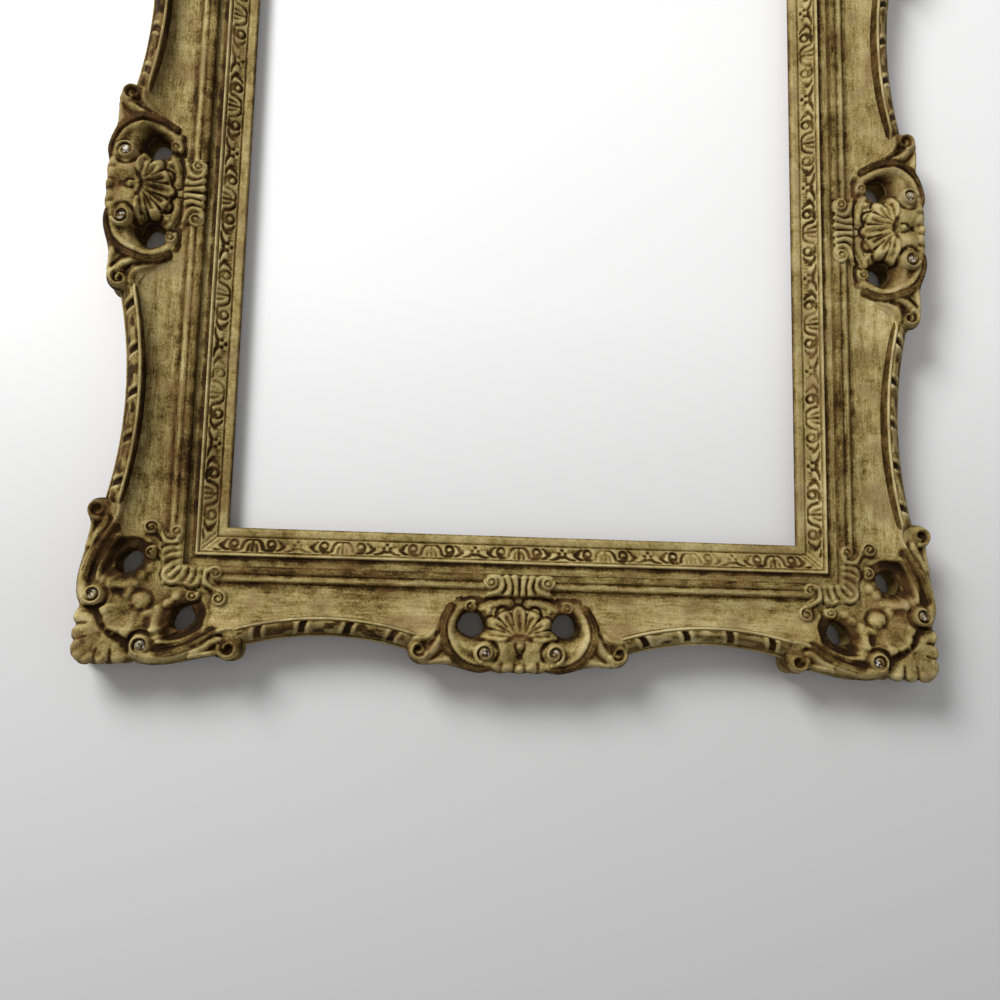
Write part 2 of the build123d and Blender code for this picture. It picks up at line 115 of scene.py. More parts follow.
def value_noise(x, y, seed, scale):
    """Smooth value noise on a lattice, from 0 to 1, the same on each run."""
    table = np.random.RandomState(seed).rand(64, 64)
    u, v = np.asarray(x) / scale, np.asarray(y) / scale
    i, j = np.floor(u).astype(int), np.floor(v).astype(int)
    fu, fv = smooth(u - i, 0, 1), smooth(v - j, 0, 1)

    def at(m, n):
        return table[m % 64, n % 64]

    low = at(i, j) * (1 - fu) + at(i + 1, j) * fu
    high = at(i, j + 1) * (1 - fu) + at(i + 1, j + 1) * fu
    return low * (1 - fv) + high * fv


def curve(points, per=10, closed=False):
    """Points along a smooth line through the given ones."""
    p = np.array(points, float)
    if closed:
        p = np.vstack([p[-1], p, p[:2]])
    else:
        p = np.vstack([2 * p[0] - p[1], p, 2 * p[-1] - p[-2]])
    t = np.linspace(0, 1, per, endpoint=False)[:, None]
    out = []
    for i in range(1, len(p) - 2):
        a, b, c, e = p[i - 1], p[i], p[i + 1], p[i + 2]
        square = 2 * a - 5 * b + 4 * c - e
        cube = 3 * b - a - 3 * c + e
        out.append(0.5 * (2 * b + (c - a) * t + square * t**2 + cube * t**3))
    if not closed:
        out.append(p[-2][None])
    return np.vstack(out)


def spiral(centre, r0, r1, start, turns, n=40):
    t = np.linspace(0, 1, n)
    angle = np.radians(start) + 2 * np.pi * turns * t
    r = r0 + (r1 - r0) * t**0.8
    return np.stack([centre[0] + r * np.cos(angle), centre[1] + r * np.sin(angle)], 1)


def line_distance(x, y, path):
    """Distance of grid points to a line of points, and the place along it from 0 to 1."""
    best = np.full(x.shape, 1e9)
    where = np.zeros(x.shape)
    seg = np.diff(path, axis=0)
    length = np.hypot(seg[:, 0], seg[:, 1]) + 1e-9
    start = np.concatenate([[0], np.cumsum(length)])
    for i in range(len(seg)):
        dx, dy = x - path[i, 0], y - path[i, 1]
        t = np.clip((dx * seg[i, 0] + dy * seg[i, 1]) / length[i] ** 2, 0, 1)
        dist = np.hypot(dx - t * seg[i, 0], dy - t * seg[i, 1])
        near = dist < best
        best = np.where(near, dist, best)
        where = np.where(near, (start[i] + t * length[i]) / start[-1], where)
    return best, where


def inside(x, y, poly):
    """Signed distance to a closed polygon, positive inside."""
    ring = np.vstack([poly, poly[:1]])
    dist, _ = line_distance(x, y, ring)
    hit = np.zeros(x.shape, bool)
    for (x0, y0), (x1, y1) in zip(ring[:-1], ring[1:]):
        if y0 != y1:
            hit ^= ((y0 > y) != (y1 > y)) & (x < (x1 - x0) * (y - y0) / (y1 - y0) + x0)
    return np.where(hit, dist, -dist)


def dot(place):
    """A line so short that it stands for a point."""
    x, y = place
    return np.array([(x, y), (x + 0.001, y)])


class Carving:
    """Relief on a grid: ridges, lobes and domes joined softly, with grooves and pits cut in.

    A path is a list of points on a smooth line, an array that is the line itself, or one point.
    """

    def __init__(self, xs, ys):
        self.xs = xs
        self.ys = ys
        self.x, self.y = np.meshgrid(xs, ys)
        self.raised, self.cut, self.chip, self.dark = np.zeros((4, *self.x.shape))
        self.mirror = np.eye(2)

    def both_halves(self, carve, mirror):
        """Carve the same forms as given and mirrored."""
        carve(self)
        self.mirror = np.array(mirror)
        carve(self)
        self.mirror = np.eye(2)

    def distance(self, place):
        x, y = self.mirror @ place
        return np.hypot(self.x - x, self.y - y)

    def near(self, path, margin):
        """The part of the grid round a line, with the distance to it and the place along it."""
        if isinstance(path, tuple):
            path = dot(self.mirror @ path)
        else:
            path = (curve(path) if isinstance(path, list) else path) @ self.mirror
        low, high = path.min(0) - margin, path.max(0) + margin
        rows = slice(*np.searchsorted(self.ys, [low[1], high[1]]))
        columns = slice(*np.searchsorted(self.xs, [low[0], high[0]]))
        part = rows, columns
        return part, *line_distance(self.x[part], self.y[part], path)

    def ridge(self, path, w, h, w1=None, h1=None, flat=0.75, hollow=0.0, root=1.0):
        """A rounded ridge; w1 and h1 are its end sizes, hollow sinks its middle, root narrows its start."""
        w1 = w if w1 is None else w1
        h1 = h if h1 is None else h1
        part, dist, t = self.near(path, max(w, w1) + 0.5)
        wide = (w + (w1 - w) * t) * (root + (1 - root) * smooth(t, 0, 0.6))
        u = dist / wide
        form = hump(u, 1) ** flat
        if hollow:
            form = form * (1 - hollow * hump(u, 0.7) * smooth(t, 0.1, 0.6))
        high = (h + (h1 - h) * t) * form
        old = self.raised[part]
        blend = np.clip(0.5 + 0.5 * (high - old) / SOFT, 0, 1)
        joined = old * (1 - blend) + high * blend + SOFT * blend * (1 - blend)
        self.raised[part] = np.where(high > 0.01, np.maximum(joined - SOFT / 4 * (old < 0.05), old), old)

    def dome(self, place, r, h, flat=0.75):
        self.ridge(place, r, h, flat=flat)

    def groove(self, path, w, depth, tone=0.25, w1=None):
        """A soft cut along a line, toned dark, fading at both ends."""
        w1 = w if w1 is None else w1
        part, dist, t = self.near(path, 2 * max(w, w1) + 0.5)
        fade = np.minimum(smooth(t, -0.05, 0.15), fall(t, 0.85, 1.05))
        u = dist / (w + (w1 - w) * t)
        self.cut[part] = np.maximum(self.cut[part], depth * hump(u, 1) * fade)
        self.dark[part] = np.maximum(self.dark[part], tone * fall(u, 0.4, 1.5) * fade)

    def pit(self, place, r, depth, tone=0.35):
        dist = self.distance(place)
        self.cut = np.maximum(self.cut, depth * hump(dist, r))
        self.dark = np.maximum(self.dark, tone * fall(dist, 0.4 * r, 1.3 * r))

    def stain(self, path, w, tone):
        """Toning left along a line, with no cut."""
        part, dist, _ = self.near(path, w + 0.5)
        self.dark[part] = np.maximum(self.dark[part], tone * fall(dist, 0.4 * w, w))

    def scar(self, place, r, amount):
        """A place where the finish may have chipped back to the white ground."""
        dist = self.distance(place)
        self.chip = np.maximum(self.chip, amount * fall(dist, 0.5 * r, r))

    def volute(self, place, r0, r1, start, turns, w, h, eye=0.0, chip=0.0):
        """A spiral ridge on a low dome, a dark line between its turns, and an eye."""
        self.dome(place, r0 + 0.6 * w, 0.55 * h)
        self.ridge(spiral(place, r0, r1, start, turns), w, h, w1=0.75 * w, h1=1.1 * h, flat=0.6)
        gap = 0.5 * (r0 - r1) / abs(turns)
        between = spiral(place, r0 - gap, max(r1 - gap, eye), start, turns)
        self.groove(between, max(0.5 * w, 0.55), 0.35 * h, 0.36)
        if eye:
            self.dome(place, eye, 0.8 * h)
        if chip:
            self.scar(place, 2.3, chip)
            self.stain(place, 2.6, 0.26)

    def relief(self):
        return blur(self.raised - self.cut, 0.7)


def arch(t):
    """A parabola from 0 up to 1 and down again."""
    return 4 * t * (1 - t)


def cove(d):
    """Height of the rail's moulding at a distance from the sight edge."""
    d = np.asarray(d, float)
    first = np.clip((d - FLAT_END) / BEAD, 0, 1)
    second = np.clip((d - FLAT_END - BEAD) / BEAD, 0, 1)
    u = np.clip((d - COVE_START) / COVE_WIDTH, 0, 1)
    beads = BEAD_FOOT + arch(first) + arch(second) - second
    hollow = COVE_FOOT + COVE_RISE * u - COVE_SAG * arch(u)
    return np.where(d < FLAT_END, FLAT_TOP, np.where(d < COVE_START, beads, hollow))


def show(name, node, verts, faces, shade, material):
    """A smooth mesh in place of a node of the frame, with its shading values on its points."""
    mesh = bpy.data.meshes.new(name)
    mesh.from_pydata((np.asarray(verts, float) * MM).tolist(), [], faces)
    for key, data in shade.items():
        layer = mesh.attributes.new(key, "FLOAT", "POINT")
        layer.data.foreach_set("value", np.asarray(data, np.float32))
    mesh.polygons.foreach_set("use_smooth", [True] * len(mesh.polygons))
    mesh.materials.append(material)
    mesh.update()
    obj = bpy.data.objects.new(name, mesh)
    bpy.context.scene.collection.objects.link(obj)
    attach(obj, "frame")
    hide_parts(node)


def carved_shade(cav, dark):
    """Shading values of a carved piece that has no chips."""
    return {"cav": cav, "dark": dark, "chip": np.zeros(cav.shape), "carve": np.ones(cav.shape)}


def to_world(origin, ux, uy, a, d, z):
    return np.stack([origin[0] + a * ux[0] + d * uy[0], origin[1] + a * ux[1] + d * uy[1], z], -1)


def cut_sheet(xs, ys, field):
    """Grid faces where the field is above 0, cut cleanly along its edge."""
    sign = field > 0
    index = np.full(field.shape, -1)
    ii, jj = np.nonzero(sign)
    index[ii, jj] = np.arange(len(ii))
    gi, gj = list(ii.astype(float)), list(jj.astype(float))
    crossing = {}

    def cross(c, n):
        """The point between two neighbours where the field passes 0."""
        key = (c, n) if c < n else (n, c)
        if key not in crossing:
            (i0, j0), (i1, j1) = key
            a, b = field[i0, j0], field[i1, j1]
            t = min(max(a / (a - b), 0.02), 0.98)
            crossing[key] = len(gi)
            gi.append(i0 + t * (i1 - i0))
            gj.append(j0 + t * (j1 - j0))
        return crossing[key]

    def cells(grid):
        return np.stack([grid[:-1, :-1], grid[:-1, 1:], grid[1:, 1:], grid[1:, :-1]], -1)

    full = cells(sign).all(-1)
    faces = cells(index)[full].tolist()
    edges = []
    for i, j in zip(*np.nonzero(cells(sign).any(-1) & ~full)):
        corner = [(i, j), (i, j + 1), (i + 1, j + 1), (i + 1, j)]
        poly = []
        for c, n in zip(corner, corner[1:] + corner[:1]):
            if sign[c]:
                poly.append(int(index[c]))
            if sign[c] != sign[n]:
                poly.append(cross(c, n))
        if len(poly) >= 3:
            faces.append(poly)
            # An edge of the sheet joins two crossings, which come after the grid's own points
            edges += [(a, b) for a, b in zip(poly, poly[1:] + poly[:1]) if min(a, b) >= len(ii)]
    gi, gj = np.array(gi), np.array(gj)
    return xs[0] + gj * (xs[1] - xs[0]), ys[0] + gi * (ys[1] - ys[0]), gi, gj, faces, edges


def sample(grid, gi, gj):
    i = np.clip(np.floor(gi).astype(int), 0, grid.shape[0] - 2)
    j = np.clip(np.floor(gj).astype(int), 0, grid.shape[1] - 2)
    u, v = gi - i, gj - j
    low = grid[i, j] * (1 - v) + grid[i, j + 1] * v
    high = grid[i + 1, j] * (1 - v) + grid[i + 1, j + 1] * v
    return low * (1 - u) + high * u


def cap(px, py, edges, z, base):
    """A flat face between loops of edges, facing down."""
    bm = bmesh.new()
    made = {}
    for v in dict.fromkeys(v for edge in edges for v in edge):
        made[v] = bm.verts.new((px[v], py[v], 0))
    for a, b in edges:
        if not bm.edges.get((made[a], made[b])):
            bm.edges.new((made[a], made[b]))
    bmesh.ops.triangle_fill(bm, use_beauty=True, use_dissolve=False, edges=bm.edges[:])
    bm.verts.index_update()
    verts = [(v.co.x, v.co.y, z) for v in bm.verts]
    faces = []
    for f in bm.faces:
        loop = [v.index + base for v in f.verts]
        faces.append(loop if f.normal.z < 0 else loop[::-1])
    bm.free()
    return verts, faces


# Side wall of a carving: (share of the way down, how far it is hollowed in mm, toning level)
WALL = [
    (0.07, 0.0, 0.50), (0.17, 0.35, 0.46), (0.32, 1.05, 0.38), (0.5, 1.5, 0.33),
    (0.68, 1.35, 0.36), (0.84, 0.7, 0.42), (0.94, 0.1, 0.47), (1.0, 0.0, 0.44),
]
# Thickness of a carving that has no solid under it, and toning of walls and backs
THIN = 1.4
WALL_DARK = 0.03
BACK_TONE = 0.4


def carved_solid(c, top, mask, worked, floors):
    """Closed carving: the top sheet, its walls and the flat backs. floors lists (field, back height)."""
    px, py, gi, gj, faces, edges = cut_sheet(c.xs, c.ys, mask)
    z = sample(top, gi, gj)
    blocks = [np.stack([px, py, z], 1)]
    tones = []

    def add(points, tone):
        """Points of a wall or a back, and the number of the first."""
        blocks.append(points)
        tones.extend([tone] * len(points))
        return len(z) + len(tones) - len(points)

    def shading(field, level):
        """A field on the top sheet, and one level on walls and backs."""
        return np.concatenate([sample(field, gi, gj), np.full(len(tones), level)])

    back = z - THIN
    for field, height in floors:
        back = np.where(sample(field, gi, gj) > -GRID, height, back)
    ring = np.array(sorted({v for edge in edges for v in edge}))
    place = {v: k for k, v in enumerate(ring)}
    rows = [ring]
    slope_y, slope_x = (sample(blur(g, 2.0), gi[ring], gj[ring]) for g in np.gradient(mask, GRID))
    steep = np.hypot(slope_x, slope_y) + 1e-6
    # Only a tall wall is hollowed
    deep = smooth(z[ring] - back[ring], 4.0, 10.0)
    for part, hollowed, tone in WALL:
        row = blocks[0][ring].copy()
        row[:, 0] += hollowed * deep * slope_x / steep
        row[:, 1] += hollowed * deep * slope_y / steep
        row[:, 2] += (back[ring] - row[:, 2]) * part
        first = add(row, tone)
        rows.append(np.arange(first, first + len(ring)))
    for a, b in edges:
        i, j = place[a], place[b]
        for upper, lower in zip(rows[:-1], rows[1:]):
            faces.append([int(upper[j]), int(upper[i]), int(lower[i]), int(lower[j])])
    for field, height in floors:
        qx, qy, _, _, _, rim = cut_sheet(c.xs, c.ys, np.minimum(mask, field))
        points, caps = cap(qx, qy, rim, height, len(z) + len(tones))
        add(np.array(points), BACK_TONE)
        faces += caps
    # How far each point stands above its surroundings, close by and farther off
    proud = 0.27 * (top - blur(top, 3.0)) + 0.10 * (top - blur(top, 10.0))
    shade = {
        "cav": np.concatenate([np.clip(0.475 + sample(proud, gi, gj), 0, 0.70), tones]),
        "chip": shading(c.chip, 0.0),
        "dark": shading(c.dark, WALL_DARK),
        "carve": shading(worked, 1.0),
    }
    return np.vstack(blocks), faces, shade


def round_edge(depth, r):
    """How far the surface rolls down near its edge."""
    t = 1 - np.clip(depth / r, 0, 1)
    return r * (1 - np.sqrt(hump(t, 1)))


def oval(place, major, minor, turn, n=28):
    """A closed, slightly uneven oval."""
    t = np.linspace(0, 2 * np.pi, n, endpoint=False)
    wave = 1 + 0.05 * np.sin(3 * t + 0.7) + 0.03 * np.sin(5 * t)
    u = major * np.cos(t) * wave
    v = minor * np.sin(t) * wave
    c, s = math.cos(math.radians(turn)), math.sin(math.radians(turn))
    return np.stack([place[0] + u * c - v * s, place[1] + u * s + v * c], 1)


def roughen(x, y, seed):
    """The small unevenness of cast plaster."""
    soft = 0.5 * (value_noise(x + 90, y + 90, seed, 5.5) - 0.5)
    fine = 0.26 * (value_noise(x + 90, y + 90, seed + 1, 1.7) - 0.5)
    return soft + fine


def carved_top(c, base, body, outer, hole, free, seed):
    """The ground with its edge let down, the carved surface on it, and where it has been worked."""
    base = base + body * (0.3 * smooth(outer, 0.2, 2.0) - 0.12)
    relief = c.relief()
    top = base + relief + roughen(c.x, c.y, seed) * body
    top -= round_edge(np.maximum(outer, 0), RIM_ROLL) * np.clip(free, 0, 1)
    top -= round_edge(np.maximum(-hole, 0), HOLE_ROLL)
    worked = np.maximum(smooth(relief, 0.02, 0.6), smooth(c.dark, 0.05, 0.2))
    return base, top, worked


# Centre ornament
def carve_centre_half(c):
    """The forms on one side of the ornament's middle."""
    # Broad C-scroll, the browned bead round it and the eye it curls into
    scroll = [(15, 61.4), (22, 60.6), (27.6, 57.4), (31, 52), (32.2, 45), (31, 39.5), (28, 35.4), (24, 33)]
    c.ridge(scroll, 2.8, 1.9, flat=1.0)
    bead = [(14, 64.2), (22, 63), (28.6, 59.8), (33.4, 54), (35.6, 47), (35, 41), (32, 35)]
    c.ridge(bead, 2.0, 2.7, flat=0.6)
    c.stain(bead, 2.8, 0.50)
    c.groove(bead, 0.5, 0.7, 0.34)
    fold = [(15, 62.8), (21.6, 61.8), (27.6, 58.8), (31.8, 53.4), (33.8, 46.6), (33.2, 41.4)]
    c.groove(fold, 0.6, 0.9, 0.32)
    c.volute((16.3, 56), 4.6, 1.4, 70, -1.45, 1.2, 3.5, eye=1.5, chip=0.9)
    c.groove(spiral((16.3, 56), 6.2, 6.2, 190, 0.3), 0.9, 1.2, 0.26)
    # Volute over the piercing, with the dark hollow behind it
    c.volute((22.6, 34.8), 2.9, 0.9, 240, 1.3, 1.1, 2.8, eye=1.0)
    c.stain([(18.4, 30.8), (23, 29.8), (28.6, 31.4)], 1.8, 0.32)
    c.dome((28.4, 32.4), 2.0, 1.4)
    # Acanthus that runs out to the scroll at the rope's end
    c.ridge([(37.6, 41), (40, 46), (43.4, 49.4), (48, 50)], 1.4, 1.0, h1=2.0)
    c.ridge([(36.8, 49), (38.8, 53.4), (41.6, 56.8), (44.4, 60)], 2.4, 2.0, flat=1.0)
    c.ridge([(32, 58.8), (36, 60.4), (40.5, 61)], 2.2, 2.0)
    c.groove([(37.6, 46), (39.8, 50.6), (42.4, 53.6)], 1.0, 1.1, 0.30)
    c.groove([(35.4, 55), (38.4, 57.8), (41.6, 60.4)], 0.8, 0.9, 0.26)
    c.volute((46.6, 55.4), 4.3, 2.2, 160, -0.9, 1.4, 3.2)
    c.groove([(48.4, 55), (46, 53.6), (42.6, 53.4)], 2.2, 1.6, 0.42)
    c.stain([(43, 52), (47, 53), (49.4, 58)], 5.0, 0.2)
    # Shell lobes with hollow flutes
    foot_d = 48.8
    for a, d in ((7.4, 37.6), (12.8, 42), (15.8, 47.6)):
        lobe = [(1.4, foot_d), (0.55 * a + 0.4, foot_d + (d - foot_d) * 0.62), (a, d)]
        c.ridge(lobe, 3.0, 1.6, h1=2.9, root=0.3, hollow=0.6, flat=0.5)
        c.groove(lobe, 0.5, 0.35, 0.16)
        c.dome((a, d), 2.6, 2.7)
        outward = math.degrees(math.atan2(d - 50, a))
        c.groove(spiral((a, d), 3.3, 3.3, outward - 75, 150 / 360), 0.6, 0.9, 0.3)
    for foot, tip in (((2.6, 43.6), (4.2, 36.6)), ((5.4, 44.4), (10.6, 39.2)), ((6.4, 46.6), (14.9, 44.4))):
        bend = ((foot[0] + tip[0]) / 2 - 0.3, (foot[1] + tip[1]) / 2)
        c.groove([foot, bend, tip], 0.5, 0.8, 0.28)
    # Swelling body and the lobes of its lower edge
    c.dome((7, 55.8), 6.6, 2.2, flat=1.0)
    c.groove([(12, 51), (10, 54), (10.2, 57.4), (12, 60.4)], 0.8, 0.9, 0.18)
    c.dome((5.6, 61.8), 3.6, 1.5, flat=1.0)
    c.dome((11.6, 61.8), 3.4, 1.5, flat=1.0)
    c.groove([(8.4, 60), (8.6, 62.4), (8.9, 65)], 0.8, 0.4, 0.12)
    c.groove([(2.2, 60.6), (2.4, 62.6), (2.6, 65)], 0.6, 0.3, 0.12)
    # Palmette on the moulding: curved flutes between two volutes, and the pads under it
    for foot, bend, tip in (((1.5, 29), (1.7, 25), (2.3, 20.6)), ((5.4, 28.8), (4.6, 24.6), (6, 20.6))):
        c.ridge([foot, bend, tip], 1.7, 1.5, h1=1.9, flat=0.6)
    stem = [(17.4, 29.6), (12.6, 28.2), (9, 26.2), (8, 23.4), (9.4, 20.6), (12.6, 19.8)]
    c.ridge(stem, 1.4, 1.5, flat=0.6)
    c.groove([(3.4, 29.4), (3.1, 25), (4.2, 20)], 0.5, 0.6, 0.32)
    c.groove([(8.2, 28.6), (6.4, 25), (7.6, 20)], 0.5, 0.6, 0.32)
    c.volute((13.4, 22.7), 3.0, 0.9, 0, 1.3, 1.0, 2.0, eye=0.8)
    c.groove([(0, 29.9), (8, 29.9), (13.6, 30.6), (18.4, 33.2)], 0.7, 0.7, 0.26)
    c.ridge([(5.2, 32.2), (9, 32.4), (13.4, 33.8), (18, 35.8)], 2.5, 1.8, w1=1.6, flat=0.8)
    c.stain([(15.4, 30.6), (18.4, 31.8), (19.6, 33.4)], 1.6, 0.2)
    c.groove([(1.2, 34.8), (5.6, 35.6), (9.6, 37.4), (12.2, 39.8)], 0.7, 0.7, 0.24)
    c.dome((14.2, 36.2), 1.6, 2.2)
    # Folds of the body and under the palmette
    c.groove([(2.3, 51), (2, 54), (0.6, 56.4)], 0.5, 0.6, 0.26)
    c.groove([(2.6, 30.2), (1.9, 32), (1.2, 34.2)], 0.5, 0.6, 0.26)


def centre_ring():
    """The ornament's outline, mirrored about its middle."""
    half = [
        (0, 65.2), (4.4, 64.6), (8.6, 65.2), (12.8, 64.2), (18.2, 65.2), (23.6, 64.3), (29.6, 62.6),
        (34.5, 61.7), (39.4, 61.6), (43.3, 62), (47.8, 61.3), (50.8, 58.7), (51.8, 55.2), (52.2, 51.7),
        (51.6, 47.9), (45.3, 46), (41.4, 43.3), (38.8, 38.9), (35.9, 33.1), (31, 28.8), (25, 27.8),
        (19.6, 28.6), (14.8, 26.9), (16.6, 25), (17.2, 22.6), (16, 19.9), (13, 18.9), (10, 19.2),
        (8.2, 20.2), (6.4, 18.9), (4.4, 20), (2.4, 18.9), (0, 20.4),
    ]
    return curve(half + [(-a, d) for a, d in half[-2:0:-1]], 4, closed=True)


def centre_carving():
    c = Carving(np.arange(-55.2, 55.3, GRID), np.arange(17.2, 68, GRID))
    c.both_halves(carve_centre_half, [[-1, 0], [0, 1]])
    # The shell's middle flute, the fold at its foot and the bosses on the middle line
    c.ridge([(0, 48.6), (0, 42.4), (0, 36.8)], 3.3, 1.6, h1=3.0, root=0.3, hollow=0.6, flat=0.5)
    c.groove([(0, 48), (0, 37.4)], 0.5, 0.35, 0.16)
    c.groove([(-6.8, 50.2), (-3, 48.6), (0, 48.2), (3, 48.6), (6.8, 50.2)], 1.2, 1.2, 0.34)
    c.dome((0, 52.8), 1.8, 2.0)
    c.pit((0, 57.4), 1.5, 0.9, 0.34)
    c.dome((0, 63.2), 2.3, 2.2)
    c.groove([(0, 19), (0, 30)], 0.7, 0.8, 0.34, w1=0.4)
    c.groove(spiral((0, 36.8), 3.6, 3.6, 195, 150 / 360), 0.6, 0.9, 0.3)
    outer = inside(c.x, c.y, centre_ring())
    hole = np.maximum(*[inside(c.x, c.y, oval((s * 22.2, 42.7), 6.3, 5.8, 0)) for s in (1, -1)])
    a = np.abs(c.x)
    # Toning in the hollows round the piercings
    c.dark = np.maximum(c.dark, 0.34 * fall(np.hypot(a - 22.2, c.y - 42), 6, 9.5))
    body = smooth(c.y, 28, 31)
    base = np.minimum(cove(c.y), GROUND_TOP)
    # The palmette buries the moulding
    bury = fall(a, 14, 16.6) * (1 - body) * smooth(c.y, 18.7, 19.6)
    base = base * (1 - bury) + np.maximum(base, 16.3) * bury
    # The ground stands higher under the shell and falls away into the piercings
    base += 2.0 * smooth(c.y, 34, 44) * fall(a, 14, 24) * (1 - 0.5 * smooth(c.y, 50, 60))
    pit = fall(-hole, 0.0, 6.0) * body
    base = base * (1 - pit) + np.minimum(base, 16.2) * pit
    free = smooth(c.y, 58, 61.5) + smooth(a, 44, 49) * smooth(c.y, 49.5, 53)
    base, top, worked = carved_top(c, base, body, outer, hole, free, 3)
    # Over the rail the cuts stop above its surface
    top = np.where((a > 34) & (c.y < 50.5), np.maximum(top, base - 0.1), top)
    worked = np.maximum(np.maximum(worked, bury), np.maximum(pit, smooth(c.y, 50, 53)))
    lobe = 15 - np.hypot(a - 21.5, c.y - np.clip(c.y, 44.5, 70))
    core = np.maximum(np.minimum(21.5 - a, c.y - 29.5), lobe)
    wing = np.minimum(np.minimum(a - 34, c.y - 47.5), 53.5 - a)
    mask = np.minimum(outer, -hole)
    return c, np.minimum(top, CREST), mask, worked, [(core, CORE_BACK), (wing, WING_BACK)]


# Corner ornament
def carve_corner_half(c):
    """The forms on one side of the corner's diagonal."""
    # Outer C-scroll with a browned, fluted band, and the eye it curls into
    scroll = [(51.6, 2), (55.2, 9.5), (58.6, 17.5), (60.8, 25), (61, 31), (59, 36.4)]
    c.ridge(scroll, 2.5, 2.2, w1=3.0, h1=3.2, flat=0.8)
    band = [(49.6, 3.6), (53.4, 11), (56.6, 18.4), (58.4, 26)]
    c.stain(band, 3.8, 0.40)
    c.groove(band, 0.8, 1.3, 0.36)
    c.groove([(54.6, 5), (57.4, 11.5), (60, 18.5), (61.6, 25)], 0.5, 0.7, 0.3)
    c.groove([(52.4, 5.4), (55.6, 12), (58.4, 19), (60, 26)], 0.5, 0.7, 0.34)
    c.groove([(48.4, 6.4), (51.8, 12.4), (54.8, 19.4), (56.4, 25.6)], 0.5, 0.6, 0.34)
    c.ridge([(47.2, 6.6), (51.4, 13), (54, 20), (54.6, 27)], 1.3, 1.6)
    c.volute((56.2, 33.6), 4.6, 1.4, 20, 1.5, 1.25, 3.8, eye=1.5, chip=0.9)
    c.groove([(60.4, 39.2), (56, 39.8), (51.4, 38), (49.8, 33.6), (51.6, 29.6)], 1.0, 1.4, 0.36)
    # Stem and scroll at the rope's end
    c.ridge([(48, -9.6), (47.6, -4), (49.6, 2), (52.6, 7.5)], 1.2, 2.2)
    c.ridge([(53, -0.5), (55.6, 4.5), (59, 11)], 1.9, 2.2, h1=1.8)
    c.ridge([(58.4, 0.4), (59.8, 5.5), (61.2, 12)], 1.4, 2.0)
    c.groove([(51.6, -3), (51, 1), (54.4, 7), (57.4, 13)], 0.9, 1.3, 0.32)
    c.volute((57, -5), 4.5, 1.9, 100, -1.0, 1.45, 3.4)
    c.pit((56.4, -5.2), 3.3, 1.8, 0.42)
    c.stain([(55, -8), (57, -5), (56, 0)], 5.5, 0.24)
    # S-scroll that lies on the moulding, with a volute at each end
    c.ridge([(20.6, 5.8), (22.2, 8), (25, 8.7), (28, 7.2), (29.6, 4.2), (30.4, 1.4)], 1.5, 1.7, flat=0.6)
    c.groove([(21.8, 6.2), (24.4, 7.2), (27, 6.1), (28.6, 3.2)], 0.4, 0.5, 0.2)
    c.volute((22.4, 3.6), 2.9, 0.8, 110, 1.4, 1.0, 1.9, eye=0.8)
    c.volute((34, 1.9), 3.6, 1.0, 180, 1.4, 1.1, 2.2, eye=0.9)
    c.groove([(25.8, 4.6), (27.2, 2), (28.2, -1.4)], 0.7, 0.5, 0.28)
    c.stain([(29.4, 7.6), (31.6, 5.4), (36, 5.6)], 1.3, 0.18)
    # Comb of leaves fanning out from the sight corner
    leaves = [
        [(19.6, 11), (24, 11.1), (27.6, 12.5), (28.9, 14.8), (27.6, 16.8)],
        [(19.4, 13.8), (23, 14.3), (26, 15.4)],
        [(19.6, 17.2), (23.6, 19), (26.6, 21.6), (27.2, 24.2), (26, 26)],
    ]
    for leaf in leaves:
        c.ridge(leaf, 1.15, 0.6, h1=1.3, flat=0.6)
    c.groove([(20, 12.4), (24, 12.8), (27.2, 14.6)], 0.4, 0.3, 0.12)
    c.groove([(19.8, 15.7), (23.6, 16.6), (27, 18.8)], 0.55, 0.5, 0.22)
    c.groove([(20, 18.6), (23, 20.6), (25.2, 23.2)], 0.4, 0.3, 0.12)
    c.groove([(20.4, 9.6), (25.6, 9.7), (29.4, 11.4), (30.5, 15), (28.8, 18)], 0.5, 0.4, 0.2)
    c.groove([(28.4, 20.6), (28.9, 24), (27.6, 27)], 0.5, 0.4, 0.2)
    # Curls, lobes and flutes round the piercing
    c.volute((32.9, 13.8), 2.7, 0.8, 250, 1.2, 1.1, 3.0, eye=0.9)
    c.dome((37, 24), 2.8, 2.2)
    c.dome((33.6, 21), 2.6, 1.6)
    c.ridge([(34.5, 8.4), (40, 6.2), (46, 7.2)], 1.3, 1.4)
    c.ridge([(47.4, 17.6), (51, 22.6), (53, 28.4)], 1.1, 1.2)
    c.ridge([(45, 22), (48.4, 26), (50, 30)], 1.2, 1.3)
    c.ridge([(39, 28.4), (44, 29.4), (48.4, 29.4)], 2.0, 1.2)
    c.dome((41.4, 32.6), 3.2, 1.6, flat=1.0)
    c.groove([(43.6, 33), (46.4, 31.8), (48.6, 33)], 1.8, 0.6, 0.30)
    c.stain([(43.4, 32), (47.6, 33), (49.2, 36)], 2.6, 0.24)
    # Soft leaf along the diagonal, up to the dark fold
    c.ridge([(40, 37.6), (45.6, 39.6), (50.4, 41)], 2.8, 0.8, h1=1.9, root=0.5, hollow=0.2, flat=1.0)
    c.ridge([(40.6, 39.6), (45.4, 43), (49.4, 46)], 2.8, 0.8, h1=2.1, root=0.5, hollow=0.2, flat=1.0)
    c.groove([(58, 40.2), (54.6, 41.4), (52.8, 44.4), (51, 47.6), (49.4, 49.4)], 1.9, 1.2, 0.38)
    c.dome((51.6, 46.4), 1.3, 1.8)
